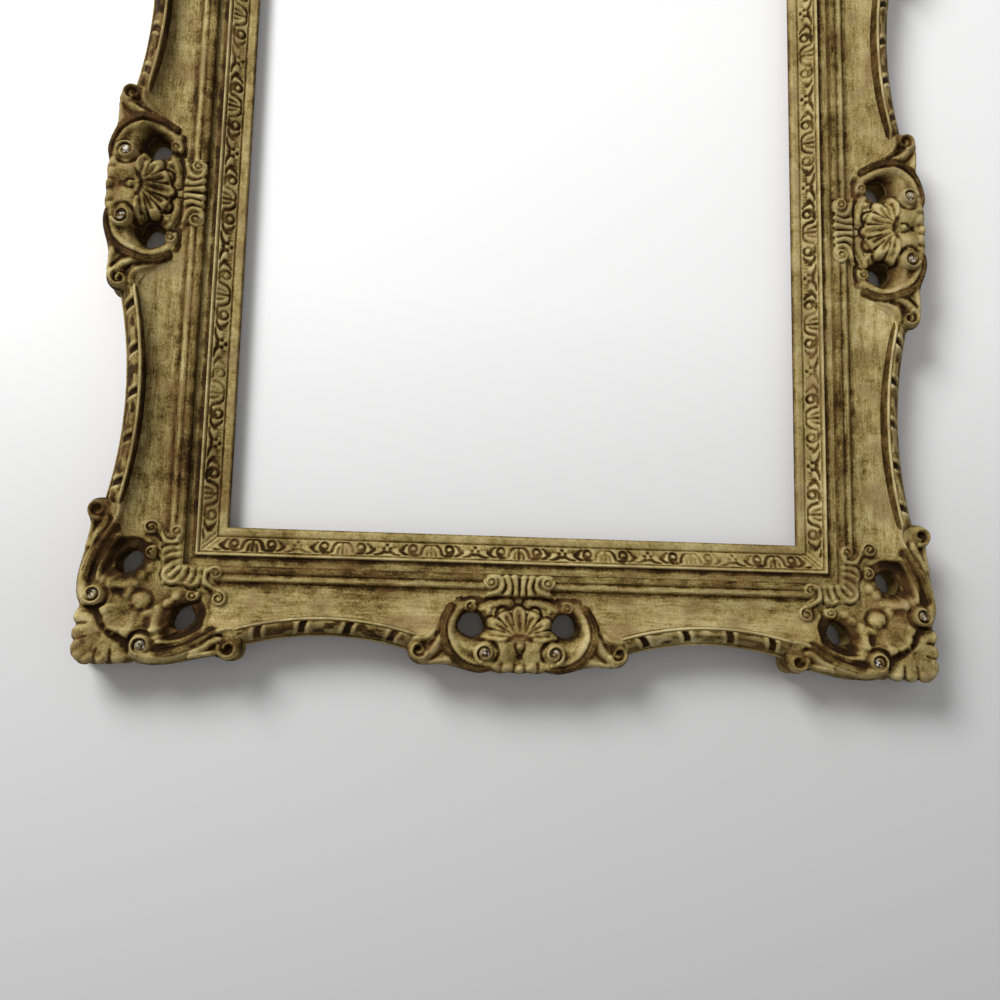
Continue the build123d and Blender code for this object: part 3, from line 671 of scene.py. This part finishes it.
    # Scalloped tip
    for p, q in ((62.4, 43.8), (62.8, 50), (62.8, 56.8)):
        lobe = [(52.4, 49.6), ((52.4 + p) / 2, (49.4 + q) / 2 - 0.4), (p, q)]
        c.ridge(lobe, 3.4, 0.8, h1=1.9, root=0.5, flat=1.0)
    c.groove([(57.4, 46.6), (61, 47), (65, 47.6)], 0.7, 0.8, 0.2)
    c.groove([(57, 52.4), (60.6, 53.6), (65, 54.2)], 0.7, 0.8, 0.2)
    c.stain([(59, 55), (61, 51), (63.6, 50)], 1.6, 0.16)


def corner_ring():
    """The corner's outline, mirrored about its diagonal."""
    half = [
        (18.78, 18.78), (18.78, -1.22), (27, -1.4), (30, -2.4), (33.5, -2.8), (36.4, -1.6), (39, -0.6),
        (44, -3), (46, -9.6), (52, -10.4), (56.5, -10.7), (60.6, -9.2), (62.4, -5), (61, -0.8),
        (60.2, 2.6), (60.8, 7), (62, 13), (63.6, 20), (64.8, 27.4), (64.3, 34.4), (62.6, 38.8),
        (64, 41.6), (64.6, 45), (63.4, 47.8), (64.9, 50.4), (65, 53), (63.9, 55), (65.2, 57.6),
        (64.9, 60.6), (63.6, 62.4),
    ]
    outer = half[1:] + [(q, p) for p, q in half[-1:0:-1]]
    return np.vstack([half[:1], curve(outer, 4)])


def corner_carving():
    xs = np.arange(-13.2, 68, GRID)
    c = Carving(xs, xs)
    c.both_halves(carve_corner_half, [[0, 1], [1, 0]])
    c.ridge([(19.2, 19.2), (21.6, 21.6), (24, 24)], 1.4, 0.7, h1=1.5, flat=0.6)
    c.ridge([(41, 41), (44.6, 44.6), (48, 48)], 2.6, 0.8, h1=2.2, root=0.5, hollow=0.2, flat=1.0)
    c.dome((35.8, 35.8), 4.2, 2.6)
    c.groove(spiral((35.8, 35.8), 4.9, 4.9, 0, 1.0), 0.9, 0.5, 0.14)
    c.ridge([(53, 53), (57.5, 57.5), (61.4, 61.4)], 2.6, 0.8, h1=2.0, root=0.6, flat=1.0)
    outer = inside(c.x, c.y, corner_ring())
    bowl_edge = [
        (34, 12), (35, 7.6), (39, 5.4), (46, 5.4), (51.5, 8), (55.2, 15),
        (56, 22), (53, 26.6), (46, 27.8), (40, 26.8), (36, 24.6), (34.4, 19),
    ]
    rim = curve(bowl_edge, 4, closed=True)
    bowl = np.maximum(inside(c.x, c.y, rim), inside(c.x, c.y, rim[:, ::-1]))
    edge = oval((43, 17.6), 6.4, 4.8, 42)
    hole = np.maximum(inside(c.x, c.y, edge), inside(c.x, c.y, edge[:, ::-1]))
    far = np.maximum(c.x, c.y)
    near = np.minimum(c.x, c.y)
    body = smooth(far, 28, 31)
    base = np.minimum(cove(far), GROUND_TOP)
    # Leaves bury the moulding at the sight corner, and the middle swells along the diagonal
    bury = smooth(near, 0.5, 4.5) * fall(far, 27, 30)
    base = base * (1 - bury) + np.maximum(base, 15.9) * bury
    sink = smooth(bowl, 0.0, 5.0)
    base += 2.8 * np.exp(-(((c.x + c.y - 84) / 26) ** 2) - ((c.x - c.y) / 17) ** 2) * (1 - sink)
    base = base * (1 - sink) + 15.8 * sink
    # Umber toning in the bowl round the piercing, deepened with painted shade; it fades a little farther out
    c.dark = np.maximum(c.dark, (0.44 - 0.16 * smooth(far, 46, 52)) * smooth(bowl, -1.0, 3.0))
    free = smooth(far, 57.5, 60.5) + smooth(-near, 2, 6) * smooth(far, 49.5, 53)
    _, top, worked = carved_top(c, base, body, outer, hole, free, 13)
    worked = np.maximum(worked, np.minimum(smooth(far, 29, 33), smooth(near, 2, 9)))
    worked = np.maximum(worked, np.maximum(smooth(far, 50, 53), bury))

    def lobe(x, y):
        return 15 - np.hypot(x - 19, y - np.clip(y, 44.5, 70))

    core = np.maximum(np.minimum(near - 19, far - 29.5), np.maximum(lobe(c.x, c.y), lobe(c.y, c.x)))
    wing = np.minimum(np.minimum(6 - near, far - 45.5), near + 11)
    mask = np.minimum(outer, -hole)
    return c, np.minimum(top, CREST), mask, worked, [(core, CORE_BACK), (wing, WING_BACK)]


# Sight band: swept moulding whose ground is cut with sprigs, volutes and leaves
MOTIF = 50.0
BAND_WIDTH = 14.0
BAND_UNDER = 6.5


def band_cuts(a, d):
    """Depth of the cuts in the band's ground, one motif of which repeats along the side."""
    u = np.abs((a + MOTIF / 2) % MOTIF - MOTIF / 2)
    cut = np.zeros(a.shape)

    def stroke(w, depth, *points):
        dist, t = line_distance(u, d, curve(points, 5))
        form = hump(dist, 1.45 * w * (0.6 + 0.8 * t))
        np.maximum(cut, depth * form, out=cut)

    # Sprig of three leaves
    stroke(0.55, 0.9, (0, 5.4), (0, 8), (0, 11.4))
    stroke(0.6, 0.9, (0.5, 5.6), (3, 5.8), (5, 7.6), (6, 10.2))
    stroke(0.5, 0.8, (1.6, 7.6), (2.4, 9.6), (2.7, 11.4))
    # Volute on each side of it, with the leaf that leaves it
    dist, t = line_distance(u, d, spiral((10, 8), 3.1, 1.2, 120, -1.25))
    np.maximum(cut, hump(dist, 1.1 - 0.4 * t), out=cut)
    stroke(0.9, 0.9, (7.2, 11.2), (8.6, 11.3), (10.6, 11))
    stroke(0.7, 0.9, (13, 10.9), (15.4, 10.4), (17.6, 8.6))
    stroke(0.6, 0.8, (13.2, 5.6), (14.8, 6.4), (16, 8))
    stroke(0.6, 0.8, (17.6, 11.2), (20.6, 10.9), (23.4, 9.6))
    # Flutes along the inner half and a flower between the motifs
    for tick in np.arange(16.6, 22, 1.6):
        stroke(0.36, 0.6, (tick, 5.4), (tick, 6.4), (tick, 7.4))
    for place in ((25, 6.2), (23.2, 8), (25, 9.9)):
        dist = np.hypot(u - place[0], d - place[1])
        np.maximum(cut, 0.9 * hump(dist, 1.15), out=cut)
    return cut


# Profile of the band, as (distance from the sight edge, height)
BAND = [
    (0.0, BAND_UNDER), (0.0, 8.3), (0.25, 8.95), (0.8, 9.4), (1.6, 9.6), (3.2, 9.6), (3.9, 9.45),
    (4.3, 9.1), (4.6, 8.8), (4.9, 9.2), (5.2, 9.8), (11.5, 13.0), (11.9, 12.7), (12.15, 12.35),
    (12.4, 12.8), (12.65, 13.6), (13.0, 14.1), (13.3, 14.2), (13.65, 14.0), (13.9, 13.5),
    (BAND_WIDTH, 12.9), (BAND_WIDTH, 11.0),
]


def resample(points, step):
    p = np.array(points, float)
    s = np.concatenate([[0], np.cumsum(np.hypot(*np.diff(p, axis=0).T))])
    t = np.linspace(0, s[-1], int(s[-1] / step) + 1)
    return np.stack([np.interp(t, s, p[:, 0]), np.interp(t, s, p[:, 1])], 1)


def strip_faces(n, m, flip=False):
    """Quads of an n by m grid of points."""
    i, j = np.meshgrid(np.arange(n - 1), np.arange(m - 1), indexing="ij")
    k = i * m + j
    quads = np.stack([k, k + 1, k + m + 1, k + m], -1).reshape(-1, 4)
    return (quads[:, ::-1] if flip else quads).tolist()


def build_band(name):
    origin, ux, uy, half = SIDES[name]
    prof = resample(BAND, 0.32)
    n = int(2 * half / 0.45)
    d = prof[None, :, 0] + np.zeros((n, 1))
    a = np.linspace(-1, 1, n)[:, None] * (half + d)
    ground = smooth(d, 5.0, 5.6) * fall(d, 11.4, 12.0)
    # The motif is repeated a whole number of times between the corner leaves
    repeats = 2 * round(half / MOTIF) + 1
    cut = band_cuts(a * repeats * MOTIF / (2 * half + 18), d)
    into = half + d - np.abs(a)
    cut = cut * smooth(into, 3.0, 5.5)
    leaf = hump(into - 2.6, 0.8) + hump(into, 0.5)
    cut = np.maximum(cut, 0.4 * leaf) * ground
    wave = value_noise(a + 300, d + 20, 21, 2.6) - 0.5
    worn = value_noise(a + 300, d * 0.2 + 20, 23, 16.0) - 0.5
    crown = smooth(d, 0.2, 1.0) * smooth(BAND_WIDTH - d, 0.1, 0.6)
    cut = blur(cut * (0.45 + 1.1 * value_noise(a + 300, d, 27, 9.0)), 0.9)
    z = prof[None, :, 1] - 1.1 * cut + (0.22 * wave + 0.25 * worn) * crown
    cav = np.clip(0.575 + 0.42 * (z - blur(z, 3.4)), 0, 1)
    # Toning in the cuts, in the two fine quirks and along the inner edge; painted shade low on the inner
    # wall, and painted shadow on the outer face where the band meets the rail
    dark = 0.30 * smooth(cut, 0.1, 0.65)
    dark += 0.08 * fall(np.abs(d - 4.6), 0.15, 0.6)
    dark += 0.05 * fall(np.abs(d - 12.15), 0.1, 0.4)
    # The last two terms below are painted shade on the band's walls
    dark += 0.26 * fall(d, 0.2, 1.3) + 0.14 * fall(z, 6.6, 9.0) * (d < 1) + 0.4 * (d > 13.95)
    verts = to_world(origin, ux, uy, a, d, z).reshape(-1, 3)
    faces = strip_faces(n, len(prof), flip=True)
    # The flat underside that lies on the rail and over the picture
    first = len(verts)
    last = len(prof) - 1
    ends = [(side * (half + out), out, BAND_UNDER) for side in (-1, 1) for out in (0.0, BAND_WIDTH)]
    under = to_world(origin, ux, uy, *np.array(ends).T)
    faces.append([first, first + 1, first + 3, first + 2])
    faces.append([last, n * len(prof) - 1, first + 3, first + 1])
    verts = np.vstack([verts, under])
    shade = carved_shade(cav, dark)
    shade = {key: np.concatenate([value.ravel(), np.full(4, 0.3)]) for key, value in shade.items()}
    show(f"carved_band_{name}", f"sight_band_{name}", verts, faces, shade, carved)


# Rope edge: roll with slanting grooves, ridge and thin fillet, as (distance from the outer edge, height)
ROPE = [
    (9.5, 13.5), (9.0, 17.0), (8.95, 21.0), (8.75, 22.9), (8.4, 23.8), (7.95, 24.15), (7.5, 23.95),
    (7.2, 23.45), (7.05, 23.15), (6.8, 23.25), (6.2, 23.45), (5.4, 23.35), (4.6, 22.95), (3.8, 22.25),
    (3.0, 21.2), (2.3, 19.9), (1.75, 18.5), (1.35, 17.3), (1.15, 16.8), (0.9, 16.9), (0.55, 17.05),
    (0.2, 16.9), (0.03, 16.4), (0.0, 15.8), (0.1, 15.0), (0.5, 14.2), (4.0, 11.0), (9.5, 6.6), (9.5, 13.5),
]


def waist(half):
    """The arc of the hollow outline: its middle, radius, centre's place outward and half angle."""
    near, far = 45.4, half - 3.4
    depth, out, covered = 7.5, 50.0, 5.0
    span = (far - near) / 2
    radius = (span**2 + depth**2) / (2 * depth)
    return (far + near) / 2, radius, out + radius, math.asin((span - covered) / radius)


def build_rope(name, side, hand):
    origin, ux, uy, half = SIDES[side]
    middle, radius, centre, angle = waist(half)
    # Each end runs on a little under an ornament
    reach = angle + 2.6 / radius
    prof = resample(ROPE, 0.36)
    n = int(2 * reach * radius / 0.42)
    s = np.linspace(-reach, reach, n)[:, None]
    u = prof[None, :, 0] + 0 * s
    z = prof[None, :, 1] + 0 * s
    along = s * radius + 0 * u
    # Grooves on the short and the long sides
    count = 4 if half < 150 else 5
    pitch = 2 * angle * radius / count
    face = z > 15.5
    roll = smooth(u, 1.25, 2.0) * fall(u, 6.6, 7.2) * face
    # Grooves lean towards the corner as they go outward, each a little differently
    place = along - (4.2 - u) * 0.38 + 1.2 * (value_noise(along + 90, u, 31 + len(name), 16.0) - 0.5)
    w = (place / pitch + 0.5 * (count % 2)) % 1.0 * pitch - pitch / 2
    groove = hump(w, 1.9)
    lip = hump(np.abs(w) - 2.9, 1.2)
    lobe = hump(np.abs(w) - pitch / 2, 0.5 * pitch)
    patchy = value_noise(along + 200, 3 * u + 20, 41 + len(name), 4.5)
    fade = smooth(reach - np.abs(s), 0, 3.0 / radius)
    push = roll * (0.45 * lip - 1.5 * groove - 0.35 * lobe * patchy) * fade
    # Push along the normal of the profile
    run = np.gradient(prof, axis=0)
    run /= np.hypot(*run.T)[:, None] + 1e-9
    verts_u = u + push * run[None, :, 1]
    verts_z = z - push * run[None, :, 0] + 0.2 * (patchy - 0.5) * face
    verts_z -= 3.6 * fall(reach - np.abs(s), 0.8 / radius, 6.5 / radius) * face
    cav = 0.5 + 0.42 * (push - blur(push, 4.0)) + 0.015 * (z - 21) * face
    cav += 0.20 * (np.abs(u - 8.0) < 0.6) * face + 0.16 * (np.abs(u - 0.5) < 0.45) * face
    # Dark grooves, browned bellies between them, and the dark wall over the cove
    dark = 0.38 * smooth(groove, 0.1, 0.7) * roll + 0.34 * roll * lobe * smooth(patchy, 0.35, 0.65)
    dark += 0.32 * (u > 8.6) * (z < 23.4) + 0.2 * (np.abs(u - 1.1) < 0.2) + 0.2 * (np.abs(u - 7.1) < 0.25)
    dark += 0.2 * ~face
    turn = -math.pi / 2 + hand * s
    a = hand * middle + (radius + verts_u) * np.cos(turn)
    d = centre + (radius + verts_u) * np.sin(turn)
    verts = to_world(origin, ux, uy, a, d, verts_z).reshape(-1, 3)
    shade = {key: value.ravel() for key, value in carved_shade(np.clip(cav, 0, 1), dark).items()}
    faces = strip_faces(n, len(prof), flip=hand > 0)
    show(f"carved_{name}", name, verts, faces, shade, carved)


# Screws: domed heads with a slot, head towards the back, on tapering shanks
HEAD = 3.0
SHANK = 1.5
SHANK_LENGTH = 6.4
AROUND = 24


def screw_parts():
    """Points and faces of one screw, its head's rim at 0 and its crown below."""
    xs = np.arange(-3.3, 3.31, 0.15)
    c = Carving(xs, xs)
    r = np.hypot(c.x, c.y)
    slot = 0.7 * fall(np.abs(c.x + 0.5 * c.y) / 1.118, 0.28, 0.42)
    c.dark = 0.5 * smooth(slot, 0.2, 0.6)
    dome = 1.2 * np.sqrt(hump(r, HEAD + 0.15))
    head = HEAD - r
    verts, faces, shade = carved_solid(c, dome - slot, head, np.ones(r.shape), [(head, -0.01)])
    verts[:, 2] *= -1
    faces = [face[::-1] for face in faces]
    first = len(verts)
    angles = np.linspace(0, 2 * np.pi, AROUND, endpoint=False)
    rows = [(SHANK - 0.9 * t - 0.16 * (k % 2), SHANK_LENGTH * t) for k, t in enumerate(np.linspace(0, 1, 15))]
    shank = [(r0 * math.cos(t), r0 * math.sin(t), h) for r0, h in rows for t in angles]
    last = first + (len(rows) - 1) * AROUND
    for low in range(first, last, AROUND):
        high = low + AROUND
        for j in range(AROUND):
            n = (j + 1) % AROUND
            faces.append([low + j, low + n, high + n, high + j])
    faces.append([last + j for j in range(AROUND)])
    shade = {key: np.concatenate([value, np.zeros(len(shank))]) for key, value in shade.items()}
    return np.vstack([verts, shank]), faces, shade


def build_screws(node, places, rim):
    """Screws at the given places, each turned differently."""
    verts, faces, shade = screw_parts()
    blocks = []
    quads = []
    for k, (x, y) in enumerate(places):
        c, s = math.cos(0.9 * k), math.sin(0.9 * k)
        blocks.append(verts @ np.array([[c, s, 0], [-s, c, 0], [0, 0, 1]]) + [x, y, rim])
        quads += [[v + k * len(verts) for v in face] for face in faces]
    shade = {key: np.tile(value, len(places)) for key, value in shade.items()}
    show(f"slotted_{node}", node, np.vstack(blocks), quads, shade, screw_steel)


# Materials
class Nodes:
    """Short calls for building a node tree."""

    def __init__(self, name):
        self.mat = bpy.data.materials.new(name)
        self.mat.use_nodes = True
        self.tree = self.mat.node_tree
        self.tree.nodes.clear()
        self.shader = self.add("ShaderNodeBsdfPrincipled")
        self.add("ShaderNodeOutputMaterial", {0: self.shader.outputs[0]})

    def add(self, kind, inputs=(), **props):
        """A node with its settings, and its inputs by number or name."""
        node = self.tree.nodes.new(kind)
        for key, value in props.items():
            setattr(node, key, value)
        for key, value in dict(inputs).items():
            self.feed(node.inputs[key], value)
        return node

    def feed(self, socket, value):
        """Link an output to a socket, or set the socket's own value."""
        if hasattr(value, "is_output"):
            self.tree.links.new(value, socket)
        else:
            socket.default_value = value

    def look(self, name, value):
        self.feed(self.shader.inputs[name], value)

    def math(self, op, a, b=0.0, c=0.0):
        return self.add("ShaderNodeMath", {0: a, 1: b, 2: c}, operation=op).outputs[0]

    def total(self, first, *terms):
        for value, gain in terms:
            first = self.math("MULTIPLY_ADD", value, gain, first)
        return first

    def attribute(self, name):
        return self.add("ShaderNodeAttribute", attribute_name=name).outputs["Fac"]

    def place(self):
        return self.add("ShaderNodeTexCoord").outputs["Object"]

    def split(self, vector):
        return self.add("ShaderNodeSeparateXYZ", {0: vector}).outputs

    def stretch(self, scale):
        """Object coordinates, scaled."""
        return self.add("ShaderNodeMapping", {"Vector": self.place(), "Scale": scale}).outputs[0]

    def noise(self, vector, scale, detail=3.0, rough=0.55):
        values = {"Vector": vector, "Scale": scale, "Detail": detail, "Roughness": rough}
        return self.add("ShaderNodeTexNoise", values).outputs["Fac"]

    def ramp(self, fac, stops):
        """A ramp of colours, or of numbers given as greys."""
        node = self.add("ShaderNodeValToRGB", {0: fac})
        elements = node.color_ramp.elements
        while len(elements) < len(stops):
            elements.new(0.5)
        for element, (place, tone) in zip(elements, stops):
            element.position = place
            element.color = (*tone, 1) if isinstance(tone, tuple) else (tone, tone, tone, 1)
        return node.outputs[0]

    def mix(self, fac, a, b):
        """Between two colours."""
        return self.add("ShaderNodeMix", {0: fac, 6: a, 7: b}, data_type="RGBA").outputs[2]

    def blend(self, fac, a, b):
        """Between two numbers."""
        return self.add("ShaderNodeMix", {0: fac, 2: a, 3: b}, data_type="FLOAT").outputs[0]

    def bump(self, height, distance, strength):
        values = {"Strength": strength, "Distance": distance, "Height": height}
        self.look("Normal", self.add("ShaderNodeBump", values).outputs[0])


PATINA = [
    (0.0, (0.020, 0.009, 0.0014)), (0.14, (0.046, 0.022, 0.0038)), (0.30, (0.120, 0.074, 0.018)),
    (0.50, (0.273, 0.201, 0.066)), (0.72, (0.440, 0.347, 0.152)), (1.0, (0.60, 0.50, 0.27)),
]
RUST = (0.125, 0.058, 0.018, 1)
PLASTER = (0.70, 0.67, 0.61, 1)
WOOD = [(0.3, (0.075, 0.040, 0.018)), (0.5, (0.155, 0.088, 0.042)), (0.7, (0.23, 0.14, 0.070))]
# Toning across the rail: place outward from the sight edge, and level. The dark line beside the band, from 14
# to 15.4 mm, is painted shadow of the band's edge
RAIL_TONES_AND_SHADOW = [
    (14.0, 0.10), (15.4, 0.14), (16.3, 0.44), (18.4, 0.50), (18.9, 0.14), (19.6, 0.30), (21.6, 0.36),
    (22.7, 0.18), (23.5, 0.44), (24.6, 0.64), (25.4, 0.44), (26.4, 0.16), (27.4, 0.26), (29.0, 0.50),
    (38.0, 0.56), (52.0, 0.48),
]
RAIL_NEAR = RAIL_TONES_AND_SHADOW[0][0]
RAIL_FAR = 55.0
RAIL_LIFT = 0.05
# How strongly each noise varies the toning
STREAK, HAIR = 0.72, 0.5
LARGE, MEDIUM, FINE = 0.65, 0.90, 0.60
# Below this height in metres the rails are bare wood
WOOD_TOP = 0.0072


def antiqued_painted_light_material():
    """Cream wash with umber toning and some painted light and shade: by its place on the rails, by relief on
    the carved pieces.
    """
    n = Nodes("antiqued_wash_painted_light")
    pos = n.place()
    x, y, z = n.split(pos)
    dx = n.math("SUBTRACT", n.math("ABSOLUTE", x), HALF_W * MM)
    dy = n.math("SUBTRACT", n.math("ABSOLUTE", y), HALF_H * MM)
    d = n.math("MAXIMUM", dx, dy)
    upright = n.math("GREATER_THAN", dx, dy)
    # Coordinates for noise that is drawn out along the rail
    along = n.math("MULTIPLY", n.blend(upright, x, y), 0.13)
    apart = n.math("MULTIPLY", upright, 0.31)
    line = n.add("ShaderNodeCombineXYZ", {0: along, 1: d, 2: apart}).outputs[0]
    streak = n.noise(line, 260.0, 5.0, 0.65)
    hair = n.noise(line, 1100.0, 3.0, 0.6)
    large = n.noise(pos, 26.0, 3.0)
    medium = n.noise(pos, 140.0, 4.0, 0.65)
    fine = n.noise(pos, 1000.0, 3.0, 0.65)
    carve = n.attribute("carve")
    rail_only = n.math("SUBTRACT", 1.0, carve)
    wobble = n.math("MULTIPLY_ADD", n.math("SUBTRACT", medium, 0.5), 0.0012, d)
    width = (RAIL_FAR - RAIL_NEAR) * MM
    across = n.math("DIVIDE", n.math("SUBTRACT", wobble, RAIL_NEAR * MM), width)
    stops = [((place - RAIL_NEAR) * MM / width, tone) for place, tone in RAIL_TONES_AND_SHADOW]
    # The rail's ramp holds the toning and the painted shadow beside the band
    rail = n.total(n.ramp(across, stops), (streak, STREAK), (hair, HAIR))
    rail = n.math("SUBTRACT", rail, 0.5 * (STREAK + HAIR) - RAIL_LIFT)
    level = n.blend(carve, rail, n.attribute("cav"))
    level = n.total(level, (large, LARGE), (medium, MEDIUM), (fine, FINE), (n.attribute("dark"), -1.0))
    level = n.math("SUBTRACT", level, 0.5 * (LARGE + MEDIUM + FINE))
    # Painted light and shade: the left of the frame is darkened and the right lightened, as by light from the
    # left, more so up the sides
    painted_side_light = n.ramp(n.math("ADD", y, 0.5), [(0.3, 0.2), (0.45, 0.42)])
    level = n.math("MULTIPLY_ADD", x, painted_side_light, level)
    # Small flecks of toning caught in the surface
    fleck = n.ramp(n.noise(pos, 1700.0, 2.0, 0.6), [(0.56, 0.0), (0.66, 0.14)])
    level = n.math("SUBTRACT", level, fleck)
    # Reddish stains, and chips back to the white ground
    rust = n.math("MULTIPLY", n.ramp(n.noise(pos, 70.0, 4.0), [(0.51, 0.0), (0.63, 1.0)]), 0.48)
    colour = n.mix(rust, n.ramp(level, PATINA), RUST)
    bare = n.ramp(n.noise(pos, 620.0, 2.0, 0.6), [(0.49, 0.0), (0.54, 1.0)])
    colour = n.mix(n.math("MULTIPLY", n.attribute("chip"), bare), colour, PLASTER)
    # Bare stained wood on the back and low on the rails
    grain = n.noise(line, 700.0, 5.0, 0.65)
    wood = n.ramp(n.total(n.math("MULTIPLY", grain, 0.75), (large, 0.25)), WOOD)
    normal = n.split(n.add("ShaderNodeNewGeometry").outputs["Normal"])
    below = n.math("LESS_THAN", normal[2], -0.5)
    low = n.math("MULTIPLY", n.math("LESS_THAN", z, WOOD_TOP), rail_only)
    n.look("Base Color", n.mix(n.math("MAXIMUM", below, low), colour, wood))
    n.look("Roughness", n.ramp(level, [(0.2, 0.80), (0.8, 0.55)]))
    n.look("Specular IOR Level", 0.12)
    drawn = n.math("MULTIPLY", rail_only, 0.8)
    n.bump(n.total(n.math("MULTIPLY", streak, drawn), (fine, 0.3), (medium, 0.6)), 0.0009, 0.6)
    return n.mat


def key_material():
    n = Nodes("key_hardwood")
    grain = n.noise(n.stretch((1.0, 0.15, 1.0)), 500.0, 4.0, 0.6)
    n.look("Base Color", n.ramp(grain, [(0.3, (0.16, 0.085, 0.035)), (0.7, (0.34, 0.21, 0.10))]))
    n.look("Roughness", 0.7)
    n.bump(grain, 0.0003, 0.4)
    return n.mat


def steel_material(name, low, high, rough):
    """Spotted, finely scratched metal between two colours."""
    n = Nodes(name)
    fine = n.noise(n.stretch((0.12, 1.0, 1.0)), 2200.0, 3.0)
    spot = n.noise(n.place(), 260.0, 4.0, 0.6)
    worn = n.total(n.math("MULTIPLY", spot, 0.7), (fine, 0.3))
    n.look("Base Color", n.ramp(worn, [(0.35, low), (0.62, high)]))
    n.look("Metallic", 1.0)
    n.look("Roughness", n.ramp(spot, [(0.3, rough + 0.22), (0.7, rough)]))
    n.bump(fine, 0.0001, 0.3)
    return n.mat


def floor_material():
    """Pale table with painted shade, greyer towards the viewer where less light falls."""
    n = Nodes("pale_floor_painted_shade")
    far = n.math("ADD", n.split(n.place())[1], 0.5)
    # Painted shade: the floor's colour darkens towards the viewer
    n.look("Base Color", n.ramp(far, [(0.1, 0.60), (0.3, 0.70), (0.46, 0.92), (0.6, 0.97)]))
    n.look("Roughness", 0.7)
    return n.mat


carved = antiqued_painted_light_material()
key_wood = key_material()
plated = steel_material("plated_steel", (0.30, 0.28, 0.24), (0.56, 0.54, 0.50), 0.32)
screw_steel = steel_material("screw_steel", (0.24, 0.20, 0.14), (0.60, 0.50, 0.32), 0.30)

for side in SIDES:
    build_band(side)
for side, ends in ROPES.items():
    for end, hand in zip(ends, (1, -1)):
        build_rope(f"rope_edge_{side}_{end}", side, hand)
for kind, carving, spots in (("centre", centre_carving(), SIDES), ("corner", corner_carving(), CORNERS)):
    verts, faces, shade = carved_solid(*carving)
    for spot, (origin, ux, uy, *_) in spots.items():
        placed = to_world(origin, ux, uy, *verts.T)
        node = f"{kind}_ornament_{spot}"
        show(f"carved_{kind}_{spot}", node, placed, faces, shade, carved)

# Screws of the turn buttons and hangers: their places, and the heights of their heads' rims
PIVOT_X = HALF_W + 17
PIVOT_Y = HALF_H + 17
PIVOT_UP = 116
HANGER_X = HALF_W + 26
HANGER_SCREWS_Y = (66, 54)
pivots = [
    (0, PIVOT_Y), (PIVOT_X, PIVOT_UP), (PIVOT_X, -PIVOT_UP),
    (0, -PIVOT_Y), (-PIVOT_X, -PIVOT_UP), (-PIVOT_X, PIVOT_UP),
]
build_screws("turn_button_screws", pivots, 1.7)
build_screws("hanger_screws", [(x, y) for x in (HANGER_X, -HANGER_X) for y in HANGER_SCREWS_Y], 4.8)

FINISH = {"mitre_key": key_wood, "turn_button": plated, "hanger": plated, "hanging": plated}
for name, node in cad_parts.items():
    finish = next((mat for start, mat in FINISH.items() if name.startswith(start)), carved)
    for slot in node.material_slots:
        slot.material = finish

# Floor, light and camera, in metres
FLOOR = 4.0
FLOOR_Z = -0.0001
sheet = [(x, y, FLOOR_Z) for x, y in ((-FLOOR, -FLOOR), (FLOOR, -FLOOR), (FLOOR, FLOOR), (-FLOOR, FLOOR))]
floor = bpy.data.meshes.new("floor")
floor.from_pydata(sheet, [], [(0, 1, 2, 3)])
floor = bpy.data.objects.new("floor", floor)
floor.data.materials.append(floor_material())
bpy.context.scene.collection.objects.link(floor)

world = bpy.data.worlds.new("studio")
world.use_nodes = True
background = world.node_tree.nodes["Background"]
background.inputs["Color"].default_value = (1.0, 1.0, 1.0, 1)
background.inputs["Strength"].default_value = 0.37
bpy.context.scene.world = world

LAMP_PLACE = Vector((-0.92, 0.9, 1.15))
LAMP_TARGET = Vector((0, -0.05, 0))
light = bpy.data.lights.new("key", "AREA")
light.shape = "RECTANGLE"
light.size = 0.8
light.size_y = 0.7
light.energy = 31.0
lamp = bpy.data.objects.new("key", light)
lamp.location = LAMP_PLACE
lamp.rotation_euler = (LAMP_PLACE - LAMP_TARGET).to_track_quat("Z", "Y").to_euler()
bpy.context.scene.collection.objects.link(lamp)

# The photograph's viewpoint, with its line of sight and the direction of the picture's right
CAMERA_PLACE = (-0.0544, -0.2194, 0.5332)
view = np.array([0.0843, 0.1427, -0.9862])
right = np.array([0.9958, 0.0229, 0.0885])
view /= np.linalg.norm(view)
right -= view * (right @ view)
right /= np.linalg.norm(right)
up = np.cross(-view, right)
cam = bpy.data.cameras.new("camera")
cam.sensor_width = 36.0
cam.lens = 39.6
cam.clip_start = 0.01
camera = bpy.data.objects.new("camera", cam)
camera.matrix_world = Matrix([*zip(right, up, -view, CAMERA_PLACE), (0, 0, 0, 1)])
bpy.context.scene.collection.objects.link(camera)
bpy.context.scene.camera = camera
bpy.context.scene.view_settings.view_transform = "Standard"
